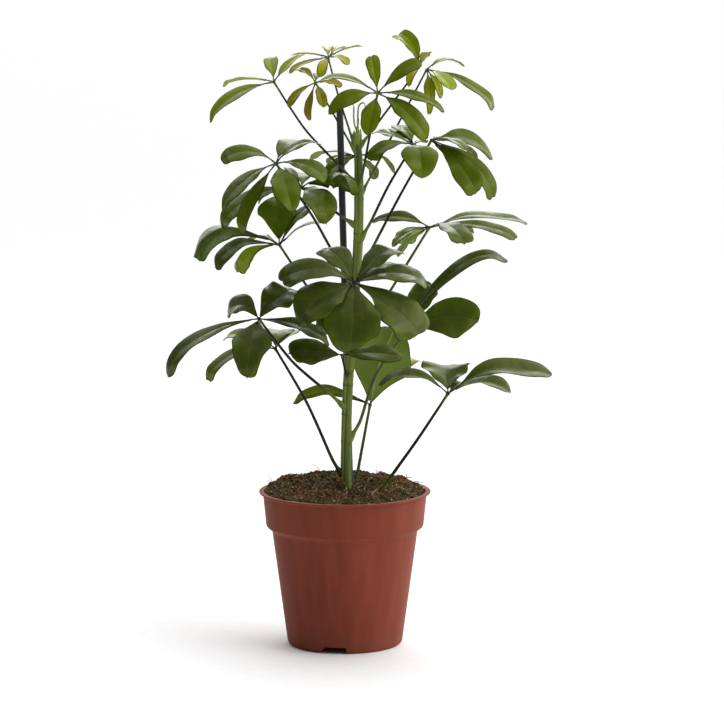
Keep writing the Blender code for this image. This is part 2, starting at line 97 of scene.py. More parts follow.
# The blades that have each outline, as leaf.blade, counted round the hub. All others are spoons.
OUTLINES = (
    (OVAL, "01.2 04.2 04.3 05.2 06.2 07.4 09.7 10.3 10.4 11.1 11.3 12.0 13.3 17.1 20.1"),
    (STRAP, "01.1 02.1 02.3 02.4 04.1 04.4 05.0 05.1 06.4 09.6 10.6 11.2 12.3 13.4 14.0 15.1 15.3 "
            "17.0 18.1 19.1 19.2 19.3 20.0"),
    (SHIELD, "01.3 04.5 06.0 08.3 09.2 11.5 13.5 15.2"),
    (CUT, "02.0 04.0 06.3 07.3 08.0 08.2 09.0 09.4 09.5 10.1 10.5 10.7 11.0 12.2 12.4 12.5 15.0 "
          "15.4 16.1 19.0"),
)
# Single blades that aren't quite as their leaf's others. Breadth is times theirs, age replaces
# theirs, sway is an S-bend up and down as a share of the length, and lean turns the upper side
# towards the front, or to the back where negative.
BLADE_LOOKS = {
    "01.0": dict(breadth=0.8), "01.2": dict(breadth=1.1, lean=0.15), "01.3": dict(breadth=0.85),
    "05.2": dict(age=0.2), "05.3": dict(age=0.2), "06.0": dict(age=0.2), "06.2": dict(age=0.2),
    "06.3": dict(breadth=1.15, age=0.42, lean=0.35), "06.4": dict(age=0.4),
    "07.2": dict(lean=-0.15), "07.3": dict(breadth=0.9, lean=-0.15),
    "08.0": dict(breadth=0.9), "08.2": dict(breadth=0.75), "08.3": dict(breadth=1.1, lean=0.25),
    "09.0": dict(age=0.45), "09.3": dict(age=0.4), "09.4": dict(lean=0.1),
    "09.5": dict(breadth=0.95, lean=0.22), "09.6": dict(breadth=0.8, sway=0.02, lean=0.2),
    "10.0": dict(breadth=0.95), "10.7": dict(breadth=0.95),
    "12.0": dict(breadth=0.95, age=0.5), "12.2": dict(breadth=1.3, age=1.0, lean=0.5),
    "12.3": dict(breadth=1.1, age=1.0, lean=0.4), "12.4": dict(breadth=1.7, age=0.4),
    "13.4": dict(breadth=1.35, lean=-0.35), "13.5": dict(age=0.4),
    "15.0": dict(breadth=1.3, lean=0.5), "15.1": dict(breadth=0.9, sway=-0.02),
    "15.3": dict(breadth=1.3, lean=0.4), "15.4": dict(breadth=1.3, lean=0.3),
    "16.0": dict(age=0.3), "16.1": dict(lean=0.4),
    "17.0": dict(lean=-0.35), "17.1": dict(lean=-0.35),
    "18.1": dict(breadth=0.85, sway=-0.035), "19.1": dict(lean=0.2),
    "19.3": dict(breadth=1.1, sway=0.03, lean=0.25),
    # Leaf 20's young ages also paint the glow of light shining through its thin blades.
    "20.0": dict(age=0.4), "20.1": dict(age=0.6, lean=-4.0), "20.2": dict(age=0.3),
}
# For each leaf: how old it looks (0 just unfolded and yellow-green, 1 full grown and dark), how
# broad its blades are beside their solids, and how much of its leaflets' little stalks is bare.
LEAF_LOOKS = {
    "01": (0.30, 1.00, 1.0), "02": (0.12, 0.90, 0.9), "03": (0.02, 0.85, 1.0), "04": (0.45, 0.88, 0.9),
    "05": (0.30, 0.95, 0.8), "06": (0.28, 0.95, 0.9), "07": (0.60, 1.05, 0.8), "08": (0.66, 1.12, 0.7),
    "09": (0.78, 1.05, 0.8), "10": (1.00, 1.22, 0.4), "11": (0.60, 0.95, 1.0), "12": (0.68, 1.12, 0.4),
    "13": (0.70, 1.05, 0.7), "14": (0.50, 1.08, 0.8), "15": (1.00, 1.12, 0.4), "16": (0.50, 1.15, 0.6),
    # Leaf 20's low age also paints the glow of light shining through its thin blades.
    "17": (0.95, 1.22, 0.4), "18": (0.90, 1.12, 0.5), "19": (0.90, 1.12, 0.8), "20": (0.22, 1.12, 0.3),
}
BLADE_ROWS = 28
COLUMNS = (0.0, 0.05, 0.16, 0.36, 0.58, 0.78, 0.93, 1.0)  # midrib to edge, over the half width
BLADE_THICKNESS = 0.45 * MM
MIDRIB_WIDTH = 0.6 * MM
MIDRIB_GROOVE = 0.15 * MM
MIDRIB_RIDGE = 0.6 * MM
VEIN_GAP = 5.5 * MM
PETIOLULE_RADII = (1.0, 0.95, 0.8, 0.7, 0.66, 0.66, 0.7, 0.4)  # millimetres, hub to blade
PETIOLULE_AGE = 0.8                      # a little stalk's and a hub's, over the blade's or leaf's
HUB_SWELLING = 1.5                       # the knob at a hub, over its stalk's radius

# ---- leaf stalks ----
# A stalk is as old as its leaf, but at least half grown, and its age also sets the painted shade that
# darkens it; apart from these: young ones are green, and one older than 1 is painted nearly black with
# shade down to the stem.
STALK_AGES_AND_SHADE = {"09": 0.1, "14": 0.1, "16": 1.5, "18": 0.1, "20": 0.1}
STALK_STEPS = 44
CLASP_LEVEL = 0.158                      # a stalk whose foot is lower comes up out of the peat
STRAIGHT_FOOT = 3                        # rings beside the stem that a solid has and a stalk lacks
FOOT_SEAT = 0.4                          # how far out in the stem a foot ends, over its radius
FOOT_LENGTH = 14.0 * MM                  # the most that a foot runs on to reach its seat
FOOT_DEPTH = 8.0 * MM                    # how deep a stalk's foot is hidden in the peat
FOOT_FLARE, PEAT_FOOT_FLARE = 1.3, 0.25  # how much a foot widens, on the stem and in the peat

# ---- stem, stake and growing tip ----
STEM_ROWS, STEM_SIDES = 400, 56
STEM_SLIMMING = 0.92                     # its radius beside the solid's
# A pale rib and the groove beside it, darkened with painted shade, clockwise from the left as seen
# from above.
RIB_TURN, GROOVE_TURN = radians(304), radians(286)
STAKE_GROWTH = 1.08                      # the rod's radius beside the solid's
STAKE_STEPS, STAKE_SIDES = 40, 24
SHOOT_STEPS = 24
TIP_KNOB_RADIUS = 2.8 * MM
SHEATHS = 7
# A sheath of the growing tip, from its foot: how far out it is over the stem's radius, how high
# over its own rise, and its radius in millimetres.
SHEATH = ((0.72, -2.2, 0.9), (0.85, -1.2, 1.7), (0.95, -0.3, 1.9),
          (1.0, 0.35, 1.5), (1.04, 0.8, 0.8), (1.12, 1.15, 0.15))

# ---- pot, in millimetres and degrees ----
LIP_RADIUS, LIP_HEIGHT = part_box("pot")[1][0] / MM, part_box("pot")[1][2] / MM
# The outside's corners from the lip's inner edge down: (out from the lip, up from it, rounding).
POT_OUTSIDE = [(LIP_RADIUS + r, LIP_HEIGHT + z, rounding) for r, z, rounding in (
    (-4.8, 0.0, 0.6), (0.0, 0.0, 0.6), (0.0, -1.3, 0.6), (-3.8, -2.6, 1.2), (-7.0, -34.4, 1.2),
    (-11.8, -38.4, 1.6), (-12.9, -40.2, 1.0), (-27.8, -150.8, 1.6), (-30.0, -153.0, 1.0))]
POT_INSIDE = slice(3, 8)                 # the corners that the inside follows, a wall further in
POT_WALL = 1.4
FLOOR_RIM, FLOOR_MIDDLE = 3.0, 2.0       # the floor's height at its rim and in its middle
POT_TURN_STEPS = 192
POT_CREASE = 35
BASE_RADIUS = 57.2
CHANNEL_TURNS = (-104.0, 16.0, 136.0)
CHANNEL_LENGTH, CHANNEL_HEIGHT = 26.0, 6.6
CHANNEL_END_HALF = 6.0                   # half its width at its inner end
CHANNEL_RIGHT, CHANNEL_LEFT = 16.5, 14.0  # from its middle to its sides, at the base's rim
CHANNEL_SLANT = 8.0                      # how far its left side leans in up at its roof
CHANNEL_MOUTH_STEPS = 8

# ---- peat, in millimetres ----
PEAT_RADIUS, PEAT_FLOOR = 79.2, 125.0
PEAT_TAPER = 0.975                       # the floor's radius beside the top's
PEAT_RINGS, PEAT_STEPS = 100, 240
ROOT_STEPS = 16
# Bare roots and twigs on the peat: (girth, points as x, y and the height over the peat).
ROOTS = (
    (0.55, ((-4, -6, 14), (0, -9, 6), (2, -24, 1.2), (-3, -46, 0.4), (-6, -56, -1))),
    (0.45, ((14, -48, -1), (17, -46, 5), (21, -44, 12), (24, -43, 18))),
    (0.5, ((22, -54, -1), (26, -50, 3), (31, -44, 7), (37, -38, 10))),
    (0.4, ((-52, -10, -1), (-46, -18, 2.5), (-38, -20, 2), (-30, -26, -1))),
    (0.4, ((-70, 10, 1), (-74, 16, 6), (-77, 20, 10))),
    (0.35, ((50, -8, 0), (46, -2, 3), (40, 4, 2), (33, 2, -1))),
    (0.35, ((-24, 50, 0), (-30, 54, 6), (-34, 52, 9))),
    (0.3, ((60, 30, 0), (62, 34, 6), (58, 36, 10))),
)


# ---- small tools ----
def colour(code):
    """An sRGB hex value such as "8c4a3a" as linear red, green, blue and full alpha."""
    parts = [int(code[i:i + 2], 16) / 255 for i in (0, 2, 4)]
    return (*[c / 12.92 if c <= 0.04045 else ((c + 0.055) / 1.055) ** 2.4 for c in parts], 1.0)


def add(tree, kind, *plugs, **settings):
    """Adds a node with its settings and links.

    A kind without "Node" in it is a shader node's. Plugs fill the node's inputs in order, and a
    setting with a capital fills the input of that name. Each is a plain value, a hex colour,
    another node or one of its outputs. Any other setting is a property, and stops are a ramp's
    (place, hex colour or grey) pairs.
    """
    node = tree.nodes.new(kind if "Node" in kind else "ShaderNode" + kind)
    by_name = {}
    for name, value in settings.items():
        if name[0].isupper():
            by_name[name.replace("_", " ")] = value
        elif name != "stops":
            setattr(node, name, value)
    for n, (place, shade) in enumerate(settings.get("stops", ())):
        if not n:
            node.color_ramp.elements.remove(node.color_ramp.elements[1])
        stop = node.color_ramp.elements.new(place) if n else node.color_ramp.elements[0]
        stop.position = place
        stop.color = colour(shade) if isinstance(shade, str) else (shade, shade, shade, 1.0)
    in_order = zip([socket for socket in node.inputs if socket.enabled], plugs)
    for socket, value in [*in_order, *((node.inputs[n], v) for n, v in by_name.items())]:
        if isinstance(value, bpy.types.Node):
            value = next(out for out in value.outputs if out.enabled)
        if isinstance(value, bpy.types.NodeSocket):
            tree.links.new(value, socket)
        else:
            socket.default_value = colour(value) if socket.type == "RGBA" else value
    return node


def smooth(knots, values, at):
    """The value at a place along a curve through (knot, value) pairs, without sharp turns."""
    last = len(knots) - 1
    seg = next((i for i in range(last) if at <= knots[i + 1]), last - 1)
    span = knots[seg + 1] - knots[seg]
    t = (at - knots[seg]) / span

    def slope(i):
        low, high = max(i - 1, 0), min(i + 1, last)
        return (values[high] - values[low]) / (knots[high] - knots[low])

    value = values[seg] * (2 * t ** 3 - 3 * t ** 2 + 1)
    value = value + slope(seg) * (span * (t ** 3 - 2 * t ** 2 + t))
    value = value + values[seg + 1] * (3 * t ** 2 - 2 * t ** 3)
    return value + slope(seg + 1) * (span * (t ** 3 - t ** 2))


def fade(low, high, at):
    """0 below low, 1 above high, and smooth between them."""
    t = min(max((at - low) / (high - low), 0.0), 1.0)
    return t * t * (3 - 2 * t)


def lengths(line):
    """How far along a line each of its points is."""
    reached = [0.0]
    for a, b in zip(line, line[1:]):
        reached.append(reached[-1] + (b - a).length)
    return reached


def even_points(line, steps):
    """The points of a smooth curve through a line's points, an equal way apart."""
    knots = lengths(line)
    return [smooth(knots, line, knots[-1] * n / steps) for n in range(steps + 1)]


def middle(points):
    """The mean of some points."""
    return sum(points, Vector()) / len(points)


def nearest(shape, vert, count):
    """The points of a shape nearest to one of them, with that one first."""
    return sorted(shape.verts, key=lambda v: (v.co - vert.co).length)[:count]


def mark_points(mesh, marks):
    """Gives each of a mesh's points its own number for every mark."""
    for name, values in marks.items():
        mesh.attributes.new(name, "FLOAT", "POINT").data.foreach_set("value", values)


def placed(name, data):
    """A mesh, lamp or camera as an object in the scene."""
    made = bpy.data.objects.new(name, data)
    bpy.context.scene.collection.objects.link(made)
    return made


class Surface:
    """Points, faces and per-point marks gathered for one mesh."""

    def __init__(self, *marks):
        self.points, self.faces, self.slots = [], [], []
        self.marks = {name: [] for name in marks}

    def add(self, points, faces, slot=0, **marks):
        """Adds a part with one material. A mark is a number for all its points, or their list."""
        start = len(self.points)
        self.points += points
        self.faces += [[start + i for i in face] for face in faces]
        self.slots += [slot] * len(faces)
        for name, values in self.marks.items():
            given = marks.get(name, 0.0)
            values += given if isinstance(given, list) else [given] * len(points)

    def build(self, name, *looks):
        mesh = bpy.data.meshes.new(name)
        mesh.from_pydata(self.points, [], self.faces)
        for look in looks:
            mesh.materials.append(look)
        mesh.polygons.foreach_set("material_index", self.slots)
        mesh.polygons.foreach_set("use_smooth", [True] * len(mesh.polygons))
        mark_points(mesh, self.marks)
        shape = bmesh.new()
        shape.from_mesh(mesh)
        bmesh.ops.recalc_face_normals(shape, faces=shape.faces)
        shape.to_mesh(mesh)
        shape.free()
        return placed(name, mesh)


def hand_in(made, node):
    """Rides a finished piece on the plant and lets it stand for a node of the frame."""
    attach(made, "root")
    if node:
        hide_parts(node)


def frames_along(path):
    """(point, side, normal) at each point of a path, turning as little as they can."""
    frames, side = [], None
    for i, point in enumerate(path):
        tangent = (path[min(i + 1, len(path) - 1)] - path[max(i - 1, 0)]).normalized()
        if side is None:
            side = tangent.cross(UP if abs(tangent.z) < 0.9 else Vector((0, 1, 0))).normalized()
        side = (side - side.dot(tangent) * tangent).normalized()
        frames.append((point, side, side.cross(tangent)))
    return frames


def grid(rows, wide, closed):
    """The faces between rows of points. Closed rows also join their last point to their first."""
    return [(row * wide + k, row * wide + (k + 1) % wide,
             (row + 1) * wide + (k + 1) % wide, (row + 1) * wide + k)
            for row in range(rows - 1) for k in range(wide if closed else wide - 1)]


def add_tube(surface, path, radii, sides, slot=0, shape=None, **marks):
    """A round bar with closed ends. shape(turn, share) may scale the radius round its section."""
    points, shares = [], []
    last = len(path) - 1
    for row, ((point, side, normal), radius) in enumerate(zip(frames_along(path), radii)):
        for k in range(sides):
            turn = 2 * pi * k / sides
            reach = radius * (shape(turn, row / last) if shape else 1.0)
            points.append(point + side * (cos(turn) * reach) + normal * (sin(turn) * reach))
            shares.append(row / last)
    faces = grid(last + 1, sides, closed=True)
    for row, end in ((0, path[0]), (last, path[-1])):
        points.append(end)
        shares.append(row / last)
        for k in range(sides):
            faces.append((row * sides + k, row * sides + (k + 1) % sides, len(points) - 1))
    surface.add(points, faces, slot, along=shares, **marks)


# ---- Geometry Nodes ----
def new_tree(name, **inputs):
    """A Geometry Nodes tree with named inputs. Returns the tree and the inputs by name."""
    tree = bpy.data.node_groups.new(name, "GeometryNodeTree")
    tree.interface.new_socket("Geometry", in_out="OUTPUT", socket_type="NodeSocketGeometry")
    tree.interface.new_socket("Geometry", in_out="INPUT", socket_type="NodeSocketGeometry")
    kinds = {int: "NodeSocketInt", float: "NodeSocketFloat", type(None): "NodeSocketMaterial"}
    for label, value in inputs.items():
        socket = tree.interface.new_socket(
            label.replace("_", " "), in_out="INPUT", socket_type=kinds[type(value)])
        if value is not None:
            socket.default_value = value
    return tree, add(tree, "NodeGroupInput").outputs


def close_tree(tree, shape, look):
    """Ends a tree with real faces that carry their material."""
    plain = add(tree, "GeometryNodeRealizeInstances", shape)
    add(tree, "NodeGroupOutput", add(tree, "GeometryNodeSetMaterial", plain, Material=look))
    return tree


def grow(made, tree, **values):
    """Runs a tree on an object, with its inputs set by their identifiers, and keeps the mesh."""
    modifier = made.modifiers.new(tree.name, "NODES")
    modifier.node_group = tree
    for socket in tree.interface.items_tree:
        if socket.name.replace(" ", "_") in values:
            modifier[socket.identifier] = values[socket.name.replace(" ", "_")]
    settle(made)
    return made


def settle(made):
    """Turns an object's modifiers into its plain mesh."""
    graph = bpy.context.evaluated_depsgraph_get()
    mesh = bpy.data.meshes.new_from_object(made.evaluated_get(graph))
    made.modifiers.clear()
    made.data = mesh


def bar_tree():
    """A round bar along a line of points, as thick as their girth, that widens at its foot."""
    tree, given = new_tree(
        "bar_along_a_line", Sides=12, Foot_Flare=FOOT_FLARE, Flare_Length=0.016, Look=None)
    way = add(tree, "GeometryNodeSplineParameter").outputs
    line = add(tree, "GeometryNodeMeshToCurve", given["Geometry"])
    line = add(tree, "GeometryNodeStoreNamedAttribute", line, Name="along", Value=way["Factor"])
    close = add(tree, "MapRange", way["Length"], 0.0, given["Flare Length"],
                given["Foot Flare"], 0.0, interpolation_type="SMOOTHERSTEP")
    widened = add(tree, "Math", close, 1.0, operation="ADD")
    girth = add(tree, "GeometryNodeInputNamedAttribute", Name="girth")
    thick = add(tree, "Math", girth, widened, operation="MULTIPLY")
    ring = add(tree, "GeometryNodeCurvePrimitiveCircle", given["Sides"], Radius=1.0)
    bar = add(tree, "GeometryNodeCurveToMesh", line, ring, thick, True)
    return close_tree(tree, add(tree, "GeometryNodeSetShadeSmooth", bar), given["Look"])


def strew(tree, given, piece, turned, size, push, waves, detail):
    """Ends a tree that strews a piece over a patch's faces, and bends each one by a noise.

    Push is how far the noise moves their points, and waves how many it has in a metre.
    """
    spots = add(tree, "GeometryNodeDistributePointsOnFaces", given["Geometry"],
                Density=given["Pieces Per Square Metre"], Seed=given["Seed"])
    turned = add(tree, "FunctionNodeEulerToRotation", turned)
    laid = add(tree, "GeometryNodeInstanceOnPoints", spots, Instance=piece, Rotation=turned,
               Scale=size)
    plain = add(tree, "GeometryNodeRealizeInstances", laid)
    place = add(tree, "GeometryNodeInputPosition")
    bumps = add(tree, "TexNoise", place, Scale=waves, Detail=detail).outputs["Color"]
    either_way = add(tree, "VectorMath", bumps, (0.5, 0.5, 0.5), operation="SUBTRACT")
    moved = add(tree, "VectorMath", either_way, Scale=push, operation="SCALE")
    bent = add(tree, "GeometryNodeSetPosition", plain, Offset=moved)
    return close_tree(tree, bent, given["Look"])


def crumb_tree():
    """Irregular crumbs scattered over the faces of a patch of peat."""
    tree, given = new_tree("peat_crumbs", Pieces_Per_Square_Metre=60000.0, Crumb_Size=0.0015,
                           Unevenness=0.6, Seed=4, Look=None)
    lump = add(tree, "GeometryNodeMeshIcoSphere", 1.0, 1)
    turned = add(tree, "FunctionNodeRandomValue", (0, 0, 0), (6.3, 6.3, 6.3), Seed=given["Seed"],
                 data_type="FLOAT_VECTOR")
    grain = add(tree, "FunctionNodeRandomValue", (0.35, 0.35, 0.25), (1.5, 1.1, 0.8),
                data_type="FLOAT_VECTOR", Seed=7)
    size = add(tree, "VectorMath", grain, given["Crumb Size"], operation="MULTIPLY")
    push = add(tree, "Math", given["Crumb Size"], given["Unevenness"], operation="MULTIPLY")
    return strew(tree, given, lump, turned, size, push, 900.0, 2.0)


def fibre_tree():
    """Thin bent fibres and twigs lying on, and sticking out of, a patch of peat."""
    tree, given = new_tree("peat_fibres", Pieces_Per_Square_Metre=20000.0, Fibre_Length=0.009,
                           Fibre_Radius=0.00022, Tilt=0.5, Bend=0.005, Seed=2, Look=None)
    ends = [add(tree, "Math", given["Fibre Length"], share, operation="MULTIPLY")
            for share in (-0.5, 0.5)]
    line = add(tree, "GeometryNodeCurvePrimitiveLine",
               *(add(tree, "CombineXYZ", end) for end in ends))
    line = add(tree, "GeometryNodeResampleCurve", line, Count=7)
    ring = add(tree, "GeometryNodeCurvePrimitiveCircle", 4, Radius=1.0)
    strand = add(tree, "GeometryNodeCurveToMesh", line, ring, given["Fibre Radius"], True)
    lean = add(tree, "FunctionNodeRandomValue", -1.0, 1.0, Seed=11)
    tilt = add(tree, "Math", lean, given["Tilt"], operation="MULTIPLY")
    around = add(tree, "FunctionNodeRandomValue", 0.0, 6.283, Seed=12)
    turned = add(tree, "CombineXYZ", 0.0, tilt, around)
    size = add(tree, "FunctionNodeRandomValue", 0.35, 1.6, Seed=13)
    return strew(tree, given, strand, turned, size, given["Bend"], 140.0, 1.0)


# ---- reading the frame ----
# Where a blade's solid has a ring: its centre, the way to one side, the way up, half its width,
# and how far its edges are lifted over its centre.
Knot = namedtuple("Knot", "centre side up half lift")


def merged(node):
    """A merged copy of a node's solid, for reading. Its points are numbered, for a fixed order."""
    shape = bmesh.new()
    shape.from_mesh(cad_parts[node].data)
    bmesh.ops.remove_doubles(shape, verts=shape.verts, dist=1e-5)
    shape.verts.index_update()
    return shape


def rings(shape, seed, size):
    """The rings of points along a bar or blade, from the end that seed lies on."""
    layer = nearest(shape, seed, size)
    seen, found = set(layer), []
    while len(layer) == size:
        found.append([v.co.copy() for v in layer])
        beside = {e.other_vert(v) for v in layer for e in v.link_edges}
        layer = sorted(beside - seen, key=lambda v: v.index)
        seen.update(layer)
    return found


def bar_of(found):
    """The centre line and radii of a bar's rings."""
    line = [middle(ring) for ring in found]
    return line, [sum((p - c).length for p in ring) / len(ring) for ring, c in zip(found, line)]


def read_upright(node):
    """An upright bar's centre line and radii, from its foot up. Its rings are nearly level."""
    shape = merged(node)
    points = sorted((v.co.copy() for v in shape.verts), key=lambda p: p.z)
    shape.free()
    found = [[points[0]]]
    for low, high in zip(points, points[1:]):
        if high.z - low.z > RING_GAP:
            found.append([])
        found[-1].append(high)
    return bar_of(found)


def read_stalk(number):
    """A leaf stalk's line and radii from its foot up to its hub, and the hub's centre."""
    whorl = merged(f"leaf_{number}_leaflets")
    tree = kdtree.KDTree(len(whorl.verts))
    for i, vert in enumerate(whorl.verts):
        tree.insert(vert.co, i)
    tree.balance()
    whorl.free()
    bar = merged(f"leaf_{number}_stalk")
    by_hub = min(bar.verts, key=lambda v: tree.find(v.co)[2])
    line, radii = bar_of(rings(bar, by_hub, STALK_SIDES))
    bar.free()
    hub = line[0] + (line[0] - line[1]).normalized() * (HUB_SIZE * radii[0] + GAP)
    return line[::-1], radii[::-1], hub


def read_blade(found):
    """A blade's knots from its rings, base to tip.

    A ring is a thin diamond: a and b are the blade's edges, c and d its two faces' middles. The
    widest pair is taken at the base, and from there on the pair that turns least.
    """
    knots, side, up = [], None, UP
    for ring in found:
        orders = list(permutations(ring))
        if side is None:
            side = max((b - a for a, b, _, _ in orders), key=lambda across: across.length)
        a, b, c, d = max(orders, key=lambda p: (p[1] - p[0]).normalized().dot(side.normalized()))
        side, centre, through = b - a, (c + d) / 2, d - c
        up = (through if through.dot(up) >= 0 else -through).normalized()
        lift = ((a + b) / 2 - centre).dot(up)
        knots.append(Knot(centre, side.normalized(), up, side.length / 2, lift))
    return knots


def read_leaflets(number, hub):
    """Every blade of a leaf as its joint and knots, in order of azimuth round the hub."""
    whorl = merged(f"leaf_{number}_leaflets")
    blades, used, count = [], set(), len(BLADE_KNOTS)
    for vert in sorted(whorl.verts, key=lambda v: -(v.co - hub).length):
        reach = (vert.co - hub).length
        inner = any((e.other_vert(vert).co - hub).length > reach for e in vert.link_edges)
        if vert in used or inner or reach < SHORTEST_BLADE:
            continue
        used.update(nearest(whorl, vert, BLADE_SIDES))
        found = rings(whorl, vert, BLADE_SIDES)
        knots = read_blade(found[:count][::-1])
        if len(found) > count:
            joint = middle(found[count])
        else:
            share = PETIOLULE_SHARE + (1 - PETIOLULE_SHARE) * BLADE_KNOTS[-len(knots)]
            joint = hub.lerp(knots[0].centre, PETIOLULE_SHARE / share)
        blades.append((joint, knots))
    whorl.free()
    return sorted(blades, key=lambda b: (b[1][-1].centre - hub).xy.angle_signed(FRONT.xy))


# ---- materials ----
def new_material(name, *marks):
    """An empty material, its tree, the place that its patterns follow, and its points' marks."""
    made = bpy.data.materials.new(name)
    made.use_nodes = True
    tree = made.node_tree
    tree.nodes.clear()
    read = (add(tree, "Attribute", attribute_name=mark).outputs["Fac"] for mark in marks)
    return made, tree, add(tree, "TexCoord").outputs["Object"], *read


def close_material(made, skin, rough, *reliefs, **gloss):
    """Ends a material in its shader. A relief is (height, strength, depth in millimetres)."""
    tree, under = made.node_tree, {}
    for height, strength, depth in reliefs:
        under["Normal"] = add(
            tree, "Bump", Height=height, Strength=strength, Distance=depth * MM, **under)
    shader = add(tree, "BsdfPrincipled", Base_Color=skin, Roughness=rough, **under, **gloss)
    add(tree, "OutputMaterial", shader)
    return made


def waxy_leaf():
    """Grown leaf with a thick waxed skin: dark, smooth and glossy above, paler and matt below.

    Young leaves are thin and yellow-green with a red-brown edge, and old ones are dark green.
    """
    made, tree, place, age, under, rim, inset, spread, vein = new_material(
        "waxed_umbrella_plant_leaf", "age", "under", "rim", "inset", "spread", "vein")
    above = add(tree, "ValToRGB", age, stops=(
        (0.0, "7C7A16"), (0.12, "A2A40A"), (0.3, "788804"), (0.45, "54640C"), (0.7, "4A580E"),
        (1.0, "3C4419")))
    below = add(tree, "ValToRGB", age, stops=(
        (0.0, "A8A02C"), (0.3, "889838"), (0.65, "6A7A34"), (1.0, "566232")))
    # Cloudy patches about 15 mm wide, where the blade is thinner: painted paler and yellower for the
    # light that shines through them.
    cloud = add(tree, "TexNoise", place, Scale=66.0, Detail=3.0).outputs["Fac"]
    thin = add(tree, "ValToRGB", cloud, stops=((0.42, 0.0), (0.75, 0.2)))
    # The blade is yellower towards its rim.
    outer = add(tree, "ValToRGB", rim, stops=((0.5, 0.0), (1.0, 0.2)))
    # A midrib 0.6 mm wide, sunk above and raised below.
    sunk = add(tree, "ValToRGB", spread, stops=((0.1, 0.12), (0.7, 0.0)))
    raised = add(tree, "ValToRGB", spread, stops=((0.2, 0.7), (0.9, 0.0)))
    for share, shade in ((thin, "626E14"), (outer, "66740E"), (sunk, "8C9440")):
        above = add(tree, "Mix", share, above, shade, data_type="RGBA")
    below = add(tree, "Mix", raised, below, "A0A860", data_type="RGBA")
    skin = add(tree, "Mix", under, above, below, data_type="RGBA")
    # A line of dark cartilage round the edge, drawn 1 mm wide so that it shows.
    edge = add(tree, "MapRange", inset, 0.5, 1.5, 0.9, 0.0)
    rind = add(tree, "ValToRGB", age, stops=((0.1, "7A4A1C"), (0.25, "4A4812"), (0.6, "1E2008")))
    skin = add(tree, "Mix", edge, skin, rind, data_type="RGBA")
    # Side veins 5.5 mm apart and a pebbled skin of 1.5 mm grain show in the gloss only.
    fold = add(tree, "Math", vein, 0.5, operation="PINGPONG")
    veined = add(tree, "ValToRGB", fold, stops=((0.0, 0.0), (0.14, 1.0)))
    pebble = add(tree, "TexNoise", place, Scale=650.0, Detail=2.0)
    height = add(tree, "Mix", 0.6, veined, pebble, data_type="RGBA")
    # Puckers about 15 mm across between the veins break the sheen into streaks.
    pucker = add(tree, "TexNoise", place, Scale=66.0, Detail=1.0).outputs["Fac"]
    # The wax is duller below, in the clouds and on the edge.
    rough = add(tree, "MapRange", under, To_Min=0.22, To_Max=0.55)
    rough = add(tree, "Math", cloud, 0.1, rough, operation="MULTIPLY_ADD")
    rough = add(tree, "Math", edge, 0.5, rough, operation="MULTIPLY_ADD")
    return close_material(
        made, skin, rough, (height, 0.35, 0.2), (pucker, 0.7, 2.0), IOR=1.45,
        Specular_IOR_Level=0.32, Specular_Tint="D2D898", Subsurface_Weight=0.08,
        Subsurface_Scale=0.0012, Subsurface_Radius=(0.5, 1.0, 0.2))


def green_stalk():
    """Leaf stalk with a thin green skin: olive when young, with painted shade that turns older ones
    nearly black-green.
    """
    made, tree, place, age, along = new_material("green_leaf_stalk_skin", "age", "along")
    # Past an age of 0.2 the ramp turns into painted shade, nearly black.
    green_and_painted_shade = add(tree, "ValToRGB", age, stops=(
        (0.0, "5A6A2C"), (0.2, "3C481C"), (0.4, "1E210B"), (1.0, "141708")))
    # It keeps a paler green, without the painted shade, over its lowest quarter and at its hub, but
    # hardly so with an age over 1.
    pale = add(tree, "ValToRGB", along, stops=(
        (0.0, 0.95), (0.12, 0.75), (0.32, 0.0), (0.9, 0.0), (0.98, 0.6)))
    kept = add(tree, "MapRange", age, 1.0, 1.5, 1.0, 0.15)
    pale = add(tree, "Math", pale, kept, operation="MULTIPLY")
    skin = add(tree, "Mix", pale, green_and_painted_shade, "6F7F30", data_type="RGBA")
    # Brownish dull patches about 6 mm long.
    cloud = add(tree, "TexNoise", place, Scale=160.0, Detail=3.0)
    patch = add(tree, "ValToRGB", cloud, stops=((0.5, 0.0), (0.8, 0.5)))
    skin = add(tree, "Mix", patch, skin, "3A321C", data_type="RGBA")
    # A fine grain of 1 mm.
    grain = add(tree, "TexNoise", place, Scale=900.0, Detail=3.0)
    return close_material(made, skin, 0.5, (grain, 0.4, 0.2), IOR=1.45, Specular_IOR_Level=0.2)


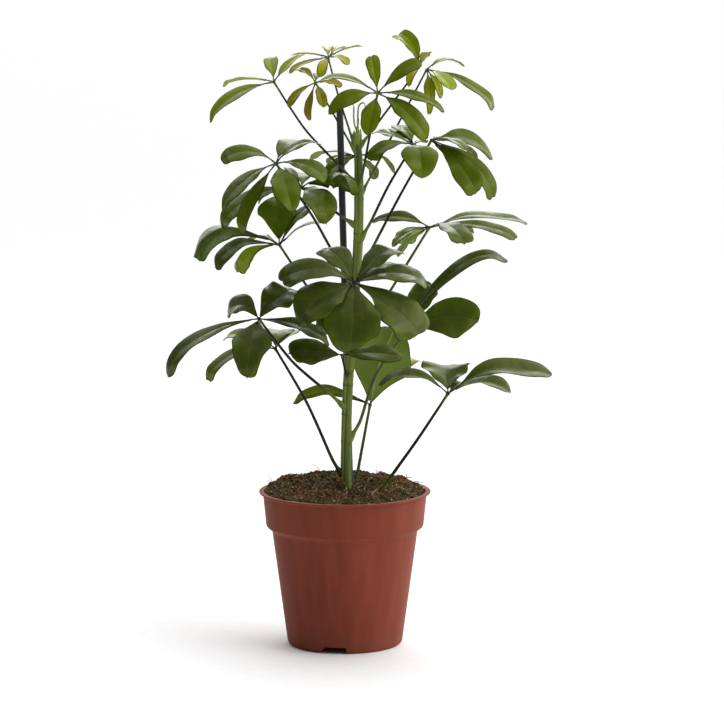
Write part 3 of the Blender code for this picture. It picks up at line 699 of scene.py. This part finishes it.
def green_bark():
    """Main stem: young green bark with lengthwise ribs, brown leaf scars and pale corky dots."""
    made, tree, place, scar, rib = new_material("young_green_bark", "scar", "rib")
    # Bands about 3 mm wide that run some 80 mm up the stem.
    drawn = add(tree, "Mapping", place, Scale=(1.0, 1.0, 0.04))
    bands = add(tree, "TexNoise", drawn, Scale=330.0, Detail=2.0)
    skin = add(tree, "ValToRGB", bands, stops=((0.3, "46521C"), (0.5, "5A6828"), (0.68, "748238")))
    # One pale raised rib, and painted shade in the groove beside it.
    raised = add(tree, "MapRange", rib, 0.0, 1.0, 0.0, 0.8)
    groove_painted_shade = add(tree, "MapRange", rib, -1.0, 0.0, 0.6, 0.0)
    # Paler lines 0.7 mm wide.
    fine = add(tree, "TexNoise", drawn, Scale=1500.0, Detail=3.0)
    line = add(tree, "ValToRGB", fine, stops=((0.55, 0.0), (0.75, 0.35)))
    # Corky dots 0.8 mm across, some 7 mm apart.
    flat = add(tree, "Mapping", place, Scale=(1.0, 1.0, 0.6))
    dots = add(tree, "TexVoronoi", flat, Scale=140.0).outputs["Distance"]
    dot = add(tree, "ValToRGB", dots, stops=((0.04, 0.7), (0.08, 0.0)))
    for share, shade in ((raised, "8C9640"), (groove_painted_shade, "2E3614"), (line, "7E8450"),
                         (dot, "98946A"), (scar, "4A3A22")):
        skin = add(tree, "Mix", share, skin, shade, data_type="RGBA")
    height = add(tree, "Mix", 0.4, bands, fine, data_type="RGBA")
    return close_material(made, skin, 0.5, (height, 0.5, 0.5), IOR=1.45, Specular_IOR_Level=0.25)


def young_shoot():
    """Growing tip: soft new tissue, pale yellow-green and slightly waxy."""
    made, tree, place = new_material("soft_young_shoot")
    # Cloudy patches 4 to 5 mm wide, and a grain of 1 mm.
    cloud = add(tree, "TexNoise", place, Scale=220.0, Detail=3.0)
    skin = add(tree, "ValToRGB", cloud, stops=((0.3, "5E6E22"), (0.7, "8A9640")))
    grain = add(tree, "TexNoise", place, Scale=1000.0, Detail=2.0)
    return close_material(made, skin, 0.42, (grain, 0.4, 0.2), IOR=1.42)


def stake_plastic():
    """Support stake of extruded recycled plastic: blue-black, satin, with fine drawing lines."""
    made, tree, place = new_material("extruded_recycled_plastic")
    # Drawing lines 1 mm apart that run the whole length of the stake.
    drawn = add(tree, "Mapping", place, Scale=(1.0, 1.0, 0.03))
    lines = add(tree, "TexNoise", drawn, Scale=900.0, Detail=3.0)
    skin = add(tree, "ValToRGB", lines, stops=((0.3, "202327"), (0.7, "2E3237")))
    rough = add(tree, "MapRange", lines, To_Min=0.38, To_Max=0.55)
    return close_material(made, skin, rough, (lines, 0.4, 0.2), IOR=1.5, Specular_IOR_Level=0.35)


def moulded_polypropylene():
    """Nursery pot, injection-moulded in terracotta red: satin skin, fine grain, dust low down."""
    made, tree, place = new_material("moulded_polypropylene")
    # Flow marks: upright streaks about 12 mm wide and very faint.
    upright = add(tree, "Mapping", place, Scale=(1.0, 1.0, 0.1))
    flow = add(tree, "TexNoise", upright, Scale=80.0, Detail=2.0)
    skin = add(tree, "ValToRGB", flow, stops=((0.3, "743425"), (0.7, "7F3E2D")))
    # Moulded grain of 0.6 mm.
    fine = add(tree, "TexNoise", place, Scale=1600.0, Detail=2.0)
    speck = add(tree, "ValToRGB", fine, stops=((0.55, 0.0), (0.8, 0.2)))
    skin = add(tree, "Mix", speck, skin, "8A4630", data_type="RGBA")
    # Dust and splashed peat in the lowest 25 mm.
    height = add(tree, "SeparateXYZ", place).outputs["Z"]
    low = add(tree, "MapRange", height, 0.0, 0.025, 0.3, 0.0)
    dust = add(tree, "Math", low, flow, operation="MULTIPLY")
    skin = add(tree, "Mix", dust, skin, "6E5140", data_type="RGBA")
    rough = add(tree, "MapRange", flow, To_Min=0.56, To_Max=0.66)
    return close_material(made, skin, rough, (fine, 0.35, 0.1), IOR=1.49,
                          Specular_IOR_Level=0.1, Sheen_Weight=0.08, Sheen_Roughness=0.4,
                          Sheen_Tint="C8C0A0")


def peat_compost():
    """Peat potting compost, crumbled and matt: black-brown, with drier brown and mossy patches."""
    made, tree, place = new_material("crumbled_peat_compost")
    # Dry red-brown and green-grey patches 20 to 30 mm wide, and grit of 1 mm.
    patches = add(tree, "TexNoise", place, Scale=38.0, Detail=4.0)
    skin = add(tree, "ValToRGB", patches, stops=(
        (0.35, "5A5430"), (0.5, "4A3820"), (0.65, "785030")))
    grit = add(tree, "TexNoise", place, Scale=800.0, Detail=5.0, Roughness=0.7)
    # Painted shade: near-black in the low spots between the grit.
    dark = add(tree, "ValToRGB", grit, stops=((0.4, 0.9), (0.55, 0.0)))
    skin = add(tree, "Mix", dark, skin, "0E0A07", data_type="RGBA")
    pale = add(tree, "ValToRGB", grit, stops=((0.6, 0.0), (0.75, 0.6)))
    skin = add(tree, "Mix", pale, skin, "7A5F42", data_type="RGBA")
    return close_material(made, skin, 0.95, (grit, 1.0, 1.2), Specular_IOR_Level=0.15)


def picked_by_cell(tree, place, cells, stops):
    """A colour for each cell of a pattern that has so many cells in a metre."""
    cell = add(tree, "TexVoronoi", place, Scale=cells).outputs["Color"]
    return add(tree, "ValToRGB", add(tree, "SeparateColor", cell).outputs["Red"], stops=stops)


def peat_crumb():
    """Loose peat crumbs, bark chips and grit: matt, from black-brown to straw."""
    made, tree, place = new_material("loose_peat_crumbs")
    # Each crumb of some 2 mm takes one colour from the cell that it lies in.
    skin = picked_by_cell(tree, place, 420.0, (
        (0.0, "150F08"), (0.3, "40301A"), (0.45, "5A4426"), (0.65, "6E5430"), (0.8, "5E6030"),
        (0.9, "A08050"), (1.0, "CDB888")))
    grain = add(tree, "TexNoise", place, Scale=2500.0, Detail=3.0)
    return close_material(made, skin, 0.92, (grain, 0.8, 0.4), Specular_IOR_Level=0.15)


def dry_fibre():
    """Surface roots, twigs and peat fibres: dry and matt, orange-brown to straw."""
    made, tree, place = new_material("dry_root_fibre")
    # The colour changes every 6 mm or so, and the grain is 0.7 mm.
    skin = picked_by_cell(tree, place, 180.0, (
        (0.0, "34241A"), (0.4, "6A4A30"), (0.75, "8E6A44"), (1.0, "B89C70")))
    grain = add(tree, "TexNoise", place, Scale=1500.0, Detail=2.0)
    return close_material(made, skin, 0.85, (grain, 0.5, 0.2), Specular_IOR_Level=0.25)


# ---- making leaves ----
def add_blade(surface, joint, knots, outline, full, sway, lean, age, dice):
    """A thin closed blade along its knots, with midrib, fold, waves and an uneven tip.

    Full is its half width where the outline is widest. Sway and lean are as in BLADE_LOOKS.
    """
    shares = (0.0, *BLADE_KNOTS[-len(knots):])
    centres = [joint] + [k.centre for k in knots]
    sides = [knots[0].side] + [k.side for k in knots]
    ups = [knots[0].up] + [k.up for k in knots]
    fold = knots[MID_RING].lift / knots[MID_RING].half
    length = lengths(centres)[-1]
    # Waves along the edges, a hooked tip, a shifted and uneven outline, and a sideways bend.
    wave, waves = dice.uniform(0.03, 0.1), dice.uniform(1.2, 2.6)
    phases = (dice.uniform(0, 2 * pi), dice.uniform(0, 2 * pi))
    hook = dice.uniform(0.02, 0.07) * length
    widest, uneven = dice.uniform(0.92, 1.06), dice.uniform(0.0, 0.025)
    bend = dice.uniform(-0.03, 0.03) * length
    slant, drip = dice.uniform(-0.3, 0.3), dice.uniform(-1.5, 2.2) * MM
    above, below, rim, inset, vein, spread = [], [], [], [], [], []
    columns = [-c for c in COLUMNS[:0:-1]] + list(COLUMNS)
    for row in range(BLADE_ROWS + 1):
        # Where this row is, which way it faces and how wide it is. Rows close up to the tip.
        s = 1 - (1 - row / BLADE_ROWS) ** 1.3
        centre, side, up = (smooth(shares, v, s) for v in (centres, sides, ups))
        side.normalize()
        ahead = side.cross((up - up.dot(side) * side).normalized())
        up = up - up.dot(side) * side + lean * FRONT
        up = (up - up.dot(ahead) * ahead).normalized()
        side = up.cross(ahead)
        ahead *= 1 if ahead.dot(centres[-1] - joint) > 0 else -1
        half = full * smooth([o[0] for o in outline], [o[1] for o in outline], s ** widest)
        centre = centre - up * (hook * fade(0.8, 1.0, s) ** 2 - sway * length * sin(2 * pi * s))
        centre = centre + side * (bend * sin(pi * s) * fade(0.1, 0.5, s))
        for u in columns:
            gone = abs(u)
            # How far the point is lifted: by the fold, the edge's droop and the waves.
            lift = fold * half * gone ** 1.25 * (1 - 0.4 * fade(0.7, 1.0, s))
            lift -= 0.12 * half * gone ** 4
            ripple = sin(2 * pi * waves * s + phases[u > 0]) * fade(0.05, 0.3, s)
            lift += wave * full * gone ** 2 * ripple
            rib = exp(-(u * half / MIDRIB_WIDTH) ** 2) * (1 - fade(0.85, 1.0, s))
            thick = BLADE_THICKNESS * (1 - 0.6 * gone) * (1 - 0.5 * fade(0.9, 1.0, s))
            # How far out and onward it is.
            jagged = uneven * gone * sin(2 * pi * 3.3 * s + 2 * phases[u < 0])
            reach = u * half * (1 - 0.04 * gone * ripple + jagged)
            onward = slant * u * half * fade(0.7, 1.0, s)
            onward += drip * max(0.0, 1 - 2.5 * gone) * fade(0.93, 1.0, s)
            top = centre + side * reach + ahead * onward + up * (lift - MIDRIB_GROOVE * rib)
            above.append(top)
            below.append(top - up * (thick + (MIDRIB_RIDGE + MIDRIB_GROOVE) * rib))
            rim.append(gone)
            inset.append(min((1 - gone) * half, (1 - s) * length) / MM)
            spread.append(gone * half / MM)
            vein.append((s * length - gone * half * 0.9) / VEIN_GAP)
    wide, count = len(columns), len(above)
    faces = grid(BLADE_ROWS + 1, wide, closed=False)
    faces += [(count + a, count + d, count + c, count + b) for a, b, c, d in faces]
    edges = [(row * wide + k, (row + 1) * wide + k)
             for row in range(BLADE_ROWS) for k in (0, wide - 1)]
    edges += [(row * wide + k, row * wide + k + 1)
              for row in (0, BLADE_ROWS) for k in range(wide - 1)]
    faces += [(a, b, count + b, count + a) for a, b in edges]
    surface.add(above + below, faces, age=age, rim=rim * 2, inset=inset * 2, vein=vein * 2,
                spread=spread * 2, under=[0.0] * count + [1.0] * count)


def add_knob(surface, centre, radius, slot=0, **marks):
    """A small round swelling."""
    levels = (-0.97, -0.8, -0.45, 0.0, 0.45, 0.8, 0.97)
    add_tube(surface, [centre + UP * (radius * x) for x in levels],
             [radius * (1 - x * x) ** 0.5 for x in levels], 12, slot, **marks)


def make_leaf(number, blade_look, stalk_look, bars, stem):
    """A leaf's blades with their little stalks and hub, then its stalk. Returns where it starts."""
    dice = random.Random(int(number) * 7)
    age, breadth, bare = LEAF_LOOKS[number]
    line, radii, hub = read_stalk(number)
    leaf = Surface("age", "rim", "inset", "vein", "spread", "along", "under")
    for count, (joint, knots) in enumerate(read_leaflets(number, hub)):
        blade = f"{number}.{count}"
        look = BLADE_LOOKS.get(blade, {})
        own_age = min(max(look.get("age", age) + dice.uniform(-0.06, 0.06), 0.0), 1.0)
        outline = next((shape for shape, blades in OUTLINES if blade in blades.split()), SPOON)
        half = breadth * look.get("breadth", 1.0) * knots[MID_RING].half / MID_RING_SHARE
        joint = hub.lerp(joint, bare)
        add_blade(leaf, joint, knots, outline, half, look.get("sway", 0.0), look.get("lean", 0.0),
                  own_age, dice)
        # The blade's little stalk runs from just outside the hub to just under the midrib.
        start, steps = hub.lerp(joint, 0.1 * bare), len(PETIOLULE_RADII) - 2
        path = [start.lerp(joint, n / steps) for n in range(steps + 1)]
        path.append(joint.lerp(knots[0].centre, 0.35) - knots[0].up * 0.35 * MM)
        add_tube(leaf, path, [r * MM for r in PETIOLULE_RADII], 8, 1, age=own_age * PETIOLULE_AGE)
    add_knob(leaf, hub, radii[-1] * HUB_SWELLING, 1, age=age * PETIOLULE_AGE)
    hand_in(leaf.build(f"leaf_{number}_blades", blade_look, stalk_look),
            f"leaf_{number}_leaflets")
    # The stalk's age, at least 0.5, also sets how much painted shade darkens it.
    stalk_age_and_shade = STALK_AGES_AND_SHADE.get(number, max(age, 0.5))
    make_stalk(number, line, radii, hub, stalk_age_and_shade, stalk_look, bars, stem)
    return line[0]


def make_stalk(number, line, radii, hub, age, look, bars, stem):
    """A leaf stalk that leaves the stem in a widened foot, or comes up out of the peat."""
    shares = [n / STALK_STEPS for n in range(STALK_STEPS + 1)]
    if line[0].z > CLASP_LEVEL:
        line, radii, flare = line[STRAIGHT_FOOT:], radii[STRAIGHT_FOOT:], FOOT_FLARE
        seat = FOOT_SEAT * stem[1][0]
        lean = (line[2] - line[0]).normalized()
        away = line[0] - stem_at(stem, line[0].z)
        back = (away.xy.length - seat) / max(lean.dot(away.normalized()), 0.2)
        start = line[0] - lean * min(back, FOOT_LENGTH)
        axis = stem_at(stem, start.z)
        start.xy = axis.xy + (start - axis).xy.normalized() * seat
        ages = [age] * len(shares)
    else:
        start, flare = line[0] - UP * FOOT_DEPTH, PEAT_FOOT_FLARE
        ages = [age * fade(0.25, 0.6, share) for share in shares]
    line = [start, *line, hub]
    radii = [radii[0], *radii, radii[-1]]
    knots = lengths(line)
    girth = []
    for n in range(STALK_STEPS + 1):
        # It thickens by a third over its last 6 mm.
        at = knots[-1] * n / STALK_STEPS
        girth.append(smooth(knots, radii, at) * (1 + 0.35 * fade(-6 * MM, 0, at - knots[-1])))
    made = make_bar(f"leaf_{number}_petiole", even_points(line, STALK_STEPS), girth=girth, age=ages)
    grow(made, bars, Foot_Flare=flare, Look=look)
    hand_in(made, f"leaf_{number}_stalk")


def make_bar(name, path, **marks):
    """A bare line of points with its girth and other marks, ready for the bar tree."""
    mesh = bpy.data.meshes.new(name)
    mesh.from_pydata(path, [(n, n + 1) for n in range(len(path) - 1)], [])
    mark_points(mesh, marks)
    return placed(name, mesh)


# ---- making the stem, the stake and the growing tip ----
def stem_at(stem, height):
    """A point on the stem's centre line at a height."""
    return smooth([p.z for p in stem[0]], stem[0], height)


def near(turn, middle_turn, half_width):
    """1 at a turn round the stem and 0 beyond half a width from it."""
    apart = abs(atan2(sin(turn - middle_turn), cos(turn - middle_turn)))
    return 1 - fade(half_width * 0.4, half_width, apart)


def make_stem(stem, feet, look):
    """The ribbed stem, wider at its top, with a low ring and a leaf scar below each stalk."""
    line, radii = stem
    knots = [p.z for p in line]
    top = knots[-1]
    heights = [knots[0] + (top - knots[0]) * n / STEM_ROWS for n in range(STEM_ROWS + 1)]

    def drift(z):
        """How far the rib and the groove have wandered round the stem at a height."""
        return 0.25 * sin(11 * z + 1.0)

    def ridged(turn, share):
        z = heights[round(share * STEM_ROWS)]
        ribs = 0.03 * near(turn, RIB_TURN + drift(z), 0.35)
        ribs = ribs - 0.03 * near(turn, GROOVE_TURN + drift(z), 0.2)
        ribs += 0.012 * sin(5 * turn + 9 * z) + 0.008 * sin(11 * turn - 20 * z)
        low_rings = sum(exp(-((z - foot.z + 3 * MM) / (1.4 * MM)) ** 2) for foot in feet)
        crown = 0.22 * fade(top - 14 * MM, top, z)
        return STEM_SLIMMING * (1 + ribs + 0.05 * min(low_rings, 1.0) + crown)

    bark = Surface("scar", "rib")
    add_tube(bark, [smooth(knots, line, z) for z in heights],
             [smooth(knots, radii, z) for z in heights], STEM_SIDES, shape=ridged)
    for n, point in enumerate(bark.points):
        axis = smooth(knots, line, point.z)
        turn = atan2(point.y - axis.y, axis.x - point.x)
        bark.marks["rib"][n] = (near(turn, RIB_TURN + drift(point.z), 0.32)
                                - near(turn, GROOVE_TURN + drift(point.z), 0.14))
        for foot in feet:
            # A scar is a line under the foot that sags towards the foot's own side.
            facing = cos(turn - atan2(foot.y - axis.y, axis.x - foot.x))
            scar = exp(-((point.z - foot.z + (5 - 2 * facing) * MM) / (0.8 * MM)) ** 2)
            scar = 0.8 * scar * fade(-0.2, 0.5, facing)
            bark.marks["scar"][n] = max(bark.marks["scar"][n], scar)
    hand_in(bark.build("ribbed_stem", look), "stem")


def make_stake(look):
    """The support rod: faintly fluted, with a rounded top."""
    line, radii = read_upright("stake")
    foot, top, radius = line[0], line[-1], radii[0] * STAKE_GROWTH
    along = (top - foot).normalized()
    path = [foot.lerp(top - along * radius, n / STAKE_STEPS) for n in range(STAKE_STEPS + 1)]
    girth = [radius] * len(path)
    for lean in (20, 40, 60, 75, 85):
        path.append(top - along * (radius * (1 - sin(radians(lean)))))
        girth.append(radius * cos(radians(lean)))
    rod = Surface()
    add_tube(rod, path, girth, STAKE_SIDES, shape=lambda turn, share: 1 + 0.02 * sin(11 * turn))
    hand_in(rod.build("support_rod", look), "stake")


def make_growing_tip(stem, look):
    """Unopened leaf stalks that rise out of a crown of short pointed sheaths."""
    solid = merged("growing_tip")
    low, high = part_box("growing_tip")
    knob = Vector(((low[0] + high[0]) / 2, (low[1] + high[1]) / 2, low[2] + TIP_KNOB_HEIGHT))
    # A shoot is slender at its top and thickest at its foot.
    shares = [n / SHOOT_STEPS for n in range(SHOOT_STEPS + 1)]
    girth = [(0.35 + 0.5 * fade(0.0, 0.25, s) + 0.5 * fade(0.75, 1.0, s)) * MM for s in shares]
    tip, used = Surface(), set()
    for vert in sorted(solid.verts, key=lambda v: -v.co.z):
        found = rings(solid, vert, SHOOT_SIDES)
        if vert in used or len(found) < SHOOT_RINGS:
            continue
        used.update(nearest(solid, vert, SHOOT_SIDES))
        line = [middle(ring) for ring in found] + [knob]
        add_tube(tip, even_points(line, SHOOT_STEPS), girth, 8)
    solid.free()
    add_knob(tip, knob, TIP_KNOB_RADIUS)
    crown, radius = stem[0][-1], stem[1][-1]
    for n in range(SHEATHS):
        turn = 2 * pi * n / SHEATHS + 0.3 * sin(5 * n)
        out = Vector((cos(turn), sin(turn), 0))
        rise = (5.0 + 2.5 * sin(3 * n + 1)) * MM
        path = [crown + out * (radius * r) + UP * (rise * h) for r, h, _ in SHEATH]
        add_tube(tip, path, [girth * MM for _, _, girth in SHEATH], 8)
    hand_in(tip.build("young_shoots", look), "growing_tip")


# ---- making the pot ----
def rounded_profile(corners):
    """The corners with each one replaced by a short arc of its own rounding."""
    line = []
    for i, (r, z, size) in enumerate(corners):
        here = Vector((r, z))
        if i in (0, len(corners) - 1):
            line.append(here)
            continue
        before, after = Vector(corners[i - 1][:2]), Vector(corners[i + 1][:2])
        start = here + (before - here).normalized() * min(size, (before - here).length * 0.45)
        end = here + (after - here).normalized() * min(size, (after - here).length * 0.45)
        for t in (0.0, 0.25, 0.5, 0.75, 1.0):
            line.append(start * (1 - t) ** 2 + here * 2 * t * (1 - t) + end * t ** 2)
    return line


def channel_tool(name, grow_by, bottom, top, outer):
    """Three drainage channels under the base or, grown by the wall and higher, their roofs.

    They widen outwards, and each one's left side leans in from the base up to its roof.
    """
    inner, inner_half = BASE_RADIUS - CHANNEL_LENGTH - grow_by, CHANNEL_END_HALF + grow_by
    outlines = []
    for z in (bottom, top):
        slant = CHANNEL_SLANT * min(max(z / CHANNEL_HEIGHT, 0.0), 1.0)
        right = asin((CHANNEL_RIGHT + grow_by) / outer)
        left = -asin((CHANNEL_LEFT - slant + grow_by) / outer)
        outlines += [Vector((inner, -inner_half, z)), Vector((inner, inner_half, z))]
        for n in range(CHANNEL_MOUTH_STEPS + 1):
            turn = right + (left - right) * n / CHANNEL_MOUTH_STEPS
            outlines.append(Vector((outer * cos(turn), outer * sin(turn), z)))
    count = len(outlines) // 2
    faces = [list(range(count)), list(range(count, 2 * count))]
    faces += [((k - 1) % count, k, count + k, count + (k - 1) % count) for k in range(count)]
    tool = Surface()
    for azimuth in CHANNEL_TURNS:
        turned = Matrix.Rotation(radians(azimuth), 3, "Z")
        tool.add([(turned @ spot) * MM for spot in outlines], faces)
    return tool.build(name)


def make_pot(look):
    """The pot, turned from its profile, with three drainage channels and the roofs over them."""
    inside = [Vector((r - POT_WALL, z)) for r, z, _ in POT_OUTSIDE[POT_INSIDE]]
    inside[-1].y = FLOOR_RIM
    turned = inside[::-1] + rounded_profile(POT_OUTSIDE)
    wide, count = len(turned), len(turned) * POT_TURN_STEPS
    points, faces = [], []
    for k in range(POT_TURN_STEPS):
        turn = 2 * pi * k / POT_TURN_STEPS
        points += [Vector((p.x * cos(turn), p.x * sin(turn), p.y)) * MM for p in turned]
    for k in range(POT_TURN_STEPS):
        a, b = k * wide, (k + 1) % POT_TURN_STEPS * wide
        faces += [(a + n, a + n + 1, b + n + 1, b + n) for n in range(wide - 1)]
        faces += [(a, b, count), (a + wide - 1, b + wide - 1, count + 1)]
    points += [UP * FLOOR_MIDDLE * MM, Vector()]
    pot = Surface()
    pot.add(points, faces)
    made = pot.build("nursery_pot", look)
    # The roofs end inside the wall, and the channels are cut from outside and below the pot.
    roof = CHANNEL_HEIGHT + POT_WALL
    steps = (("UNION", channel_tool("roofs", POT_WALL, 1.0, roof, BASE_RADIUS - 0.7)),
             ("DIFFERENCE", channel_tool("channels", 0, -1.0, CHANNEL_HEIGHT, BASE_RADIUS + 3)))
    for operation, tool in steps:
        cutting = made.modifiers.new(operation.title(), "BOOLEAN")
        cutting.operation, cutting.solver, cutting.object = operation, "EXACT", tool
    settle(made)
    for _, tool in steps:
        bpy.data.objects.remove(tool, do_unlink=True)
    made.data.materials.clear()
    made.data.materials.append(look)
    shade_by_angle(made.data, POT_CREASE)
    hand_in(made, "pot")


def shade_by_angle(mesh, degrees):
    """Smooth shading, with edges sharper than an angle kept crisp."""
    shape = bmesh.new()
    shape.from_mesh(mesh)
    for face in shape.faces:
        face.smooth = True
    for edge in shape.edges:
        edge.smooth = len(edge.link_faces) != 2 or edge.calc_face_angle(0) < radians(degrees)
    shape.to_mesh(mesh)
    shape.free()


# ---- making the peat ----
def peat_height(x, y):
    """The peat's height at a place, all in millimetres."""
    spot = Vector((x, y, 0))
    reach = spot.length / PEAT_RADIUS
    height = LIP_HEIGHT - 0.6 + 2.4 * (1 - reach ** 2)
    # It is heaped above the lip at the back, and falls a little towards the wall there.
    back = fade(-0.1, 0.8, (y - 0.15 * x) / PEAT_RADIUS)
    height += 8.0 * back * (1 - 0.35 * fade(0.85, 1.0, reach))
    # Clods of some 17 mm and lumps of some 5 mm.
    height += 2.6 * noise.fractal(spot / 17, 0.9, 2.0, 3)
    height += 1.5 * noise.fractal(spot / 4.5 + Vector((7, 3, 1)), 0.8, 2.1, 3)
    return height


def make_peat(look, crumb_look, fibre_look, bars):
    """A closed mound of peat in the pot, strewn with crumbs and fibres, and the bare roots."""
    points = [Vector((0, 0, peat_height(0, 0)))]
    for ring in range(1, PEAT_RINGS + 1):
        reach = PEAT_RADIUS * ring / PEAT_RINGS
        for k in range(PEAT_STEPS):
            turn = 2 * pi * k / PEAT_STEPS
            x, y = reach * cos(turn), reach * sin(turn)
            points.append(Vector((x, y, peat_height(x, y))))
    top = len(points)
    rim = points[-PEAT_STEPS:]
    points += [Vector((p.x * PEAT_TAPER, p.y * PEAT_TAPER, PEAT_FLOOR)) for p in rim]
    points = [p * MM for p in points]
    faces = []
    for k in range(PEAT_STEPS):
        after = (k + 1) % PEAT_STEPS
        faces.append((0, 1 + k, 1 + after))
        for a in range(1, top, PEAT_STEPS):
            b = a + PEAT_STEPS
            faces.append((a + k, b + k, b + after, a + after))
    top_faces = [face for face in faces if max(face) < top]
    faces.append(range(len(points) - 1, top - 1, -1))
    peat = Surface()
    peat.add(points, faces)
    hand_in(peat.build("peat_mound", look), "soil")
    for name, tree, litter in (("peat_litter", crumb_tree(), crumb_look),
                               ("peat_fibre_litter", fibre_tree(), fibre_look)):
        patch = Surface()
        patch.add(points, top_faces)
        hand_in(grow(patch.build(name), tree, Look=litter), None)
    for number, (girth, spots) in enumerate(ROOTS, 1):
        line = [Vector((x, y, peat_height(x, y) + z)) * MM for x, y, z in spots]
        thick = [girth * MM * (1 - 0.4 * n / ROOT_STEPS) for n in range(ROOT_STEPS + 1)]
        root = make_bar(f"surface_root_{number}", even_points(line, ROOT_STEPS), girth=thick)
        hand_in(grow(root, bars, Sides=7, Foot_Flare=0.2, Look=fibre_look), None)


# ---- making the studio ----
def make_studio():
    """The camera, three soft lamps, a white surround and the floor."""
    camera = bpy.data.cameras.new("camera")
    camera.lens, camera.sensor_width = CAMERA_LENS_MM, CAMERA_SENSOR_MM
    eye = placed("camera", camera)
    eye.location = CAMERA_PLACE
    eye.rotation_euler = (radians(90 - CAMERA_DOWN_DEG), 0, 0)
    scene = bpy.context.scene
    scene.camera = eye
    for name, place, aim, (wide, deep), watts in LAMPS:
        light = bpy.data.lights.new(name, "AREA")
        light.shape, light.size, light.size_y, light.energy = "RECTANGLE", wide, deep, watts
        lamp = placed(name, light)
        lamp.location = place
        lamp.rotation_euler = (Vector(aim) - Vector(place)).to_track_quat("-Z", "Y").to_euler()
    # A white cyclorama, brightest behind and above on the right, and a dark room at the camera.
    scene.world = bpy.data.worlds.new("studio")
    scene.world.use_nodes = True
    tree = scene.world.node_tree
    tree.nodes.clear()
    ray = add(tree, "TexCoord").outputs["Generated"]
    towards = add(tree, "VectorMath", ray, Vector((0.6, 0.65, 0.5)).normalized(),
                  operation="DOT_PRODUCT").outputs["Value"]
    white = add(tree, "MapRange", towards, -0.1, 0.95, 0.08, 2.2, interpolation_type="SMOOTHSTEP")
    add(tree, "OutputWorld", add(tree, "Background", "FFFFFF", white))
    scene.view_settings.view_transform = "Standard"
    # Studio floor: matt white paint with a faint roller grain 8 mm wide.
    look, tree, place = new_material("matt_white_floor_paint")
    roller = add(tree, "TexNoise", place, Scale=120.0)
    paint = add(tree, "ValToRGB", roller, stops=((0.3, "F2F2F2"), (0.7, "F6F6F6")))
    floor = Surface()
    corners = ((-1, -1), (1, -1), (1, 1), (-1, 1))
    floor.add([Vector((x, y, 0)) * FLOOR_REACH for x, y in corners], [(0, 1, 2, 3)])
    floor.build("floor", close_material(look, paint, 0.9))


def main():
    make_studio()
    stem, bars = read_upright("stem"), bar_tree()
    blade_look, stalk_look, fibre_look = waxy_leaf(), green_stalk(), dry_fibre()
    feet = [make_leaf(number, blade_look, stalk_look, bars, stem) for number in LEAF_LOOKS]
    make_stem(stem, feet, green_bark())
    make_stake(stake_plastic())
    make_growing_tip(stem, young_shoot())
    make_pot(moulded_polypropylene())
    make_peat(peat_compost(), peat_crumb(), fibre_look, bars)


main()
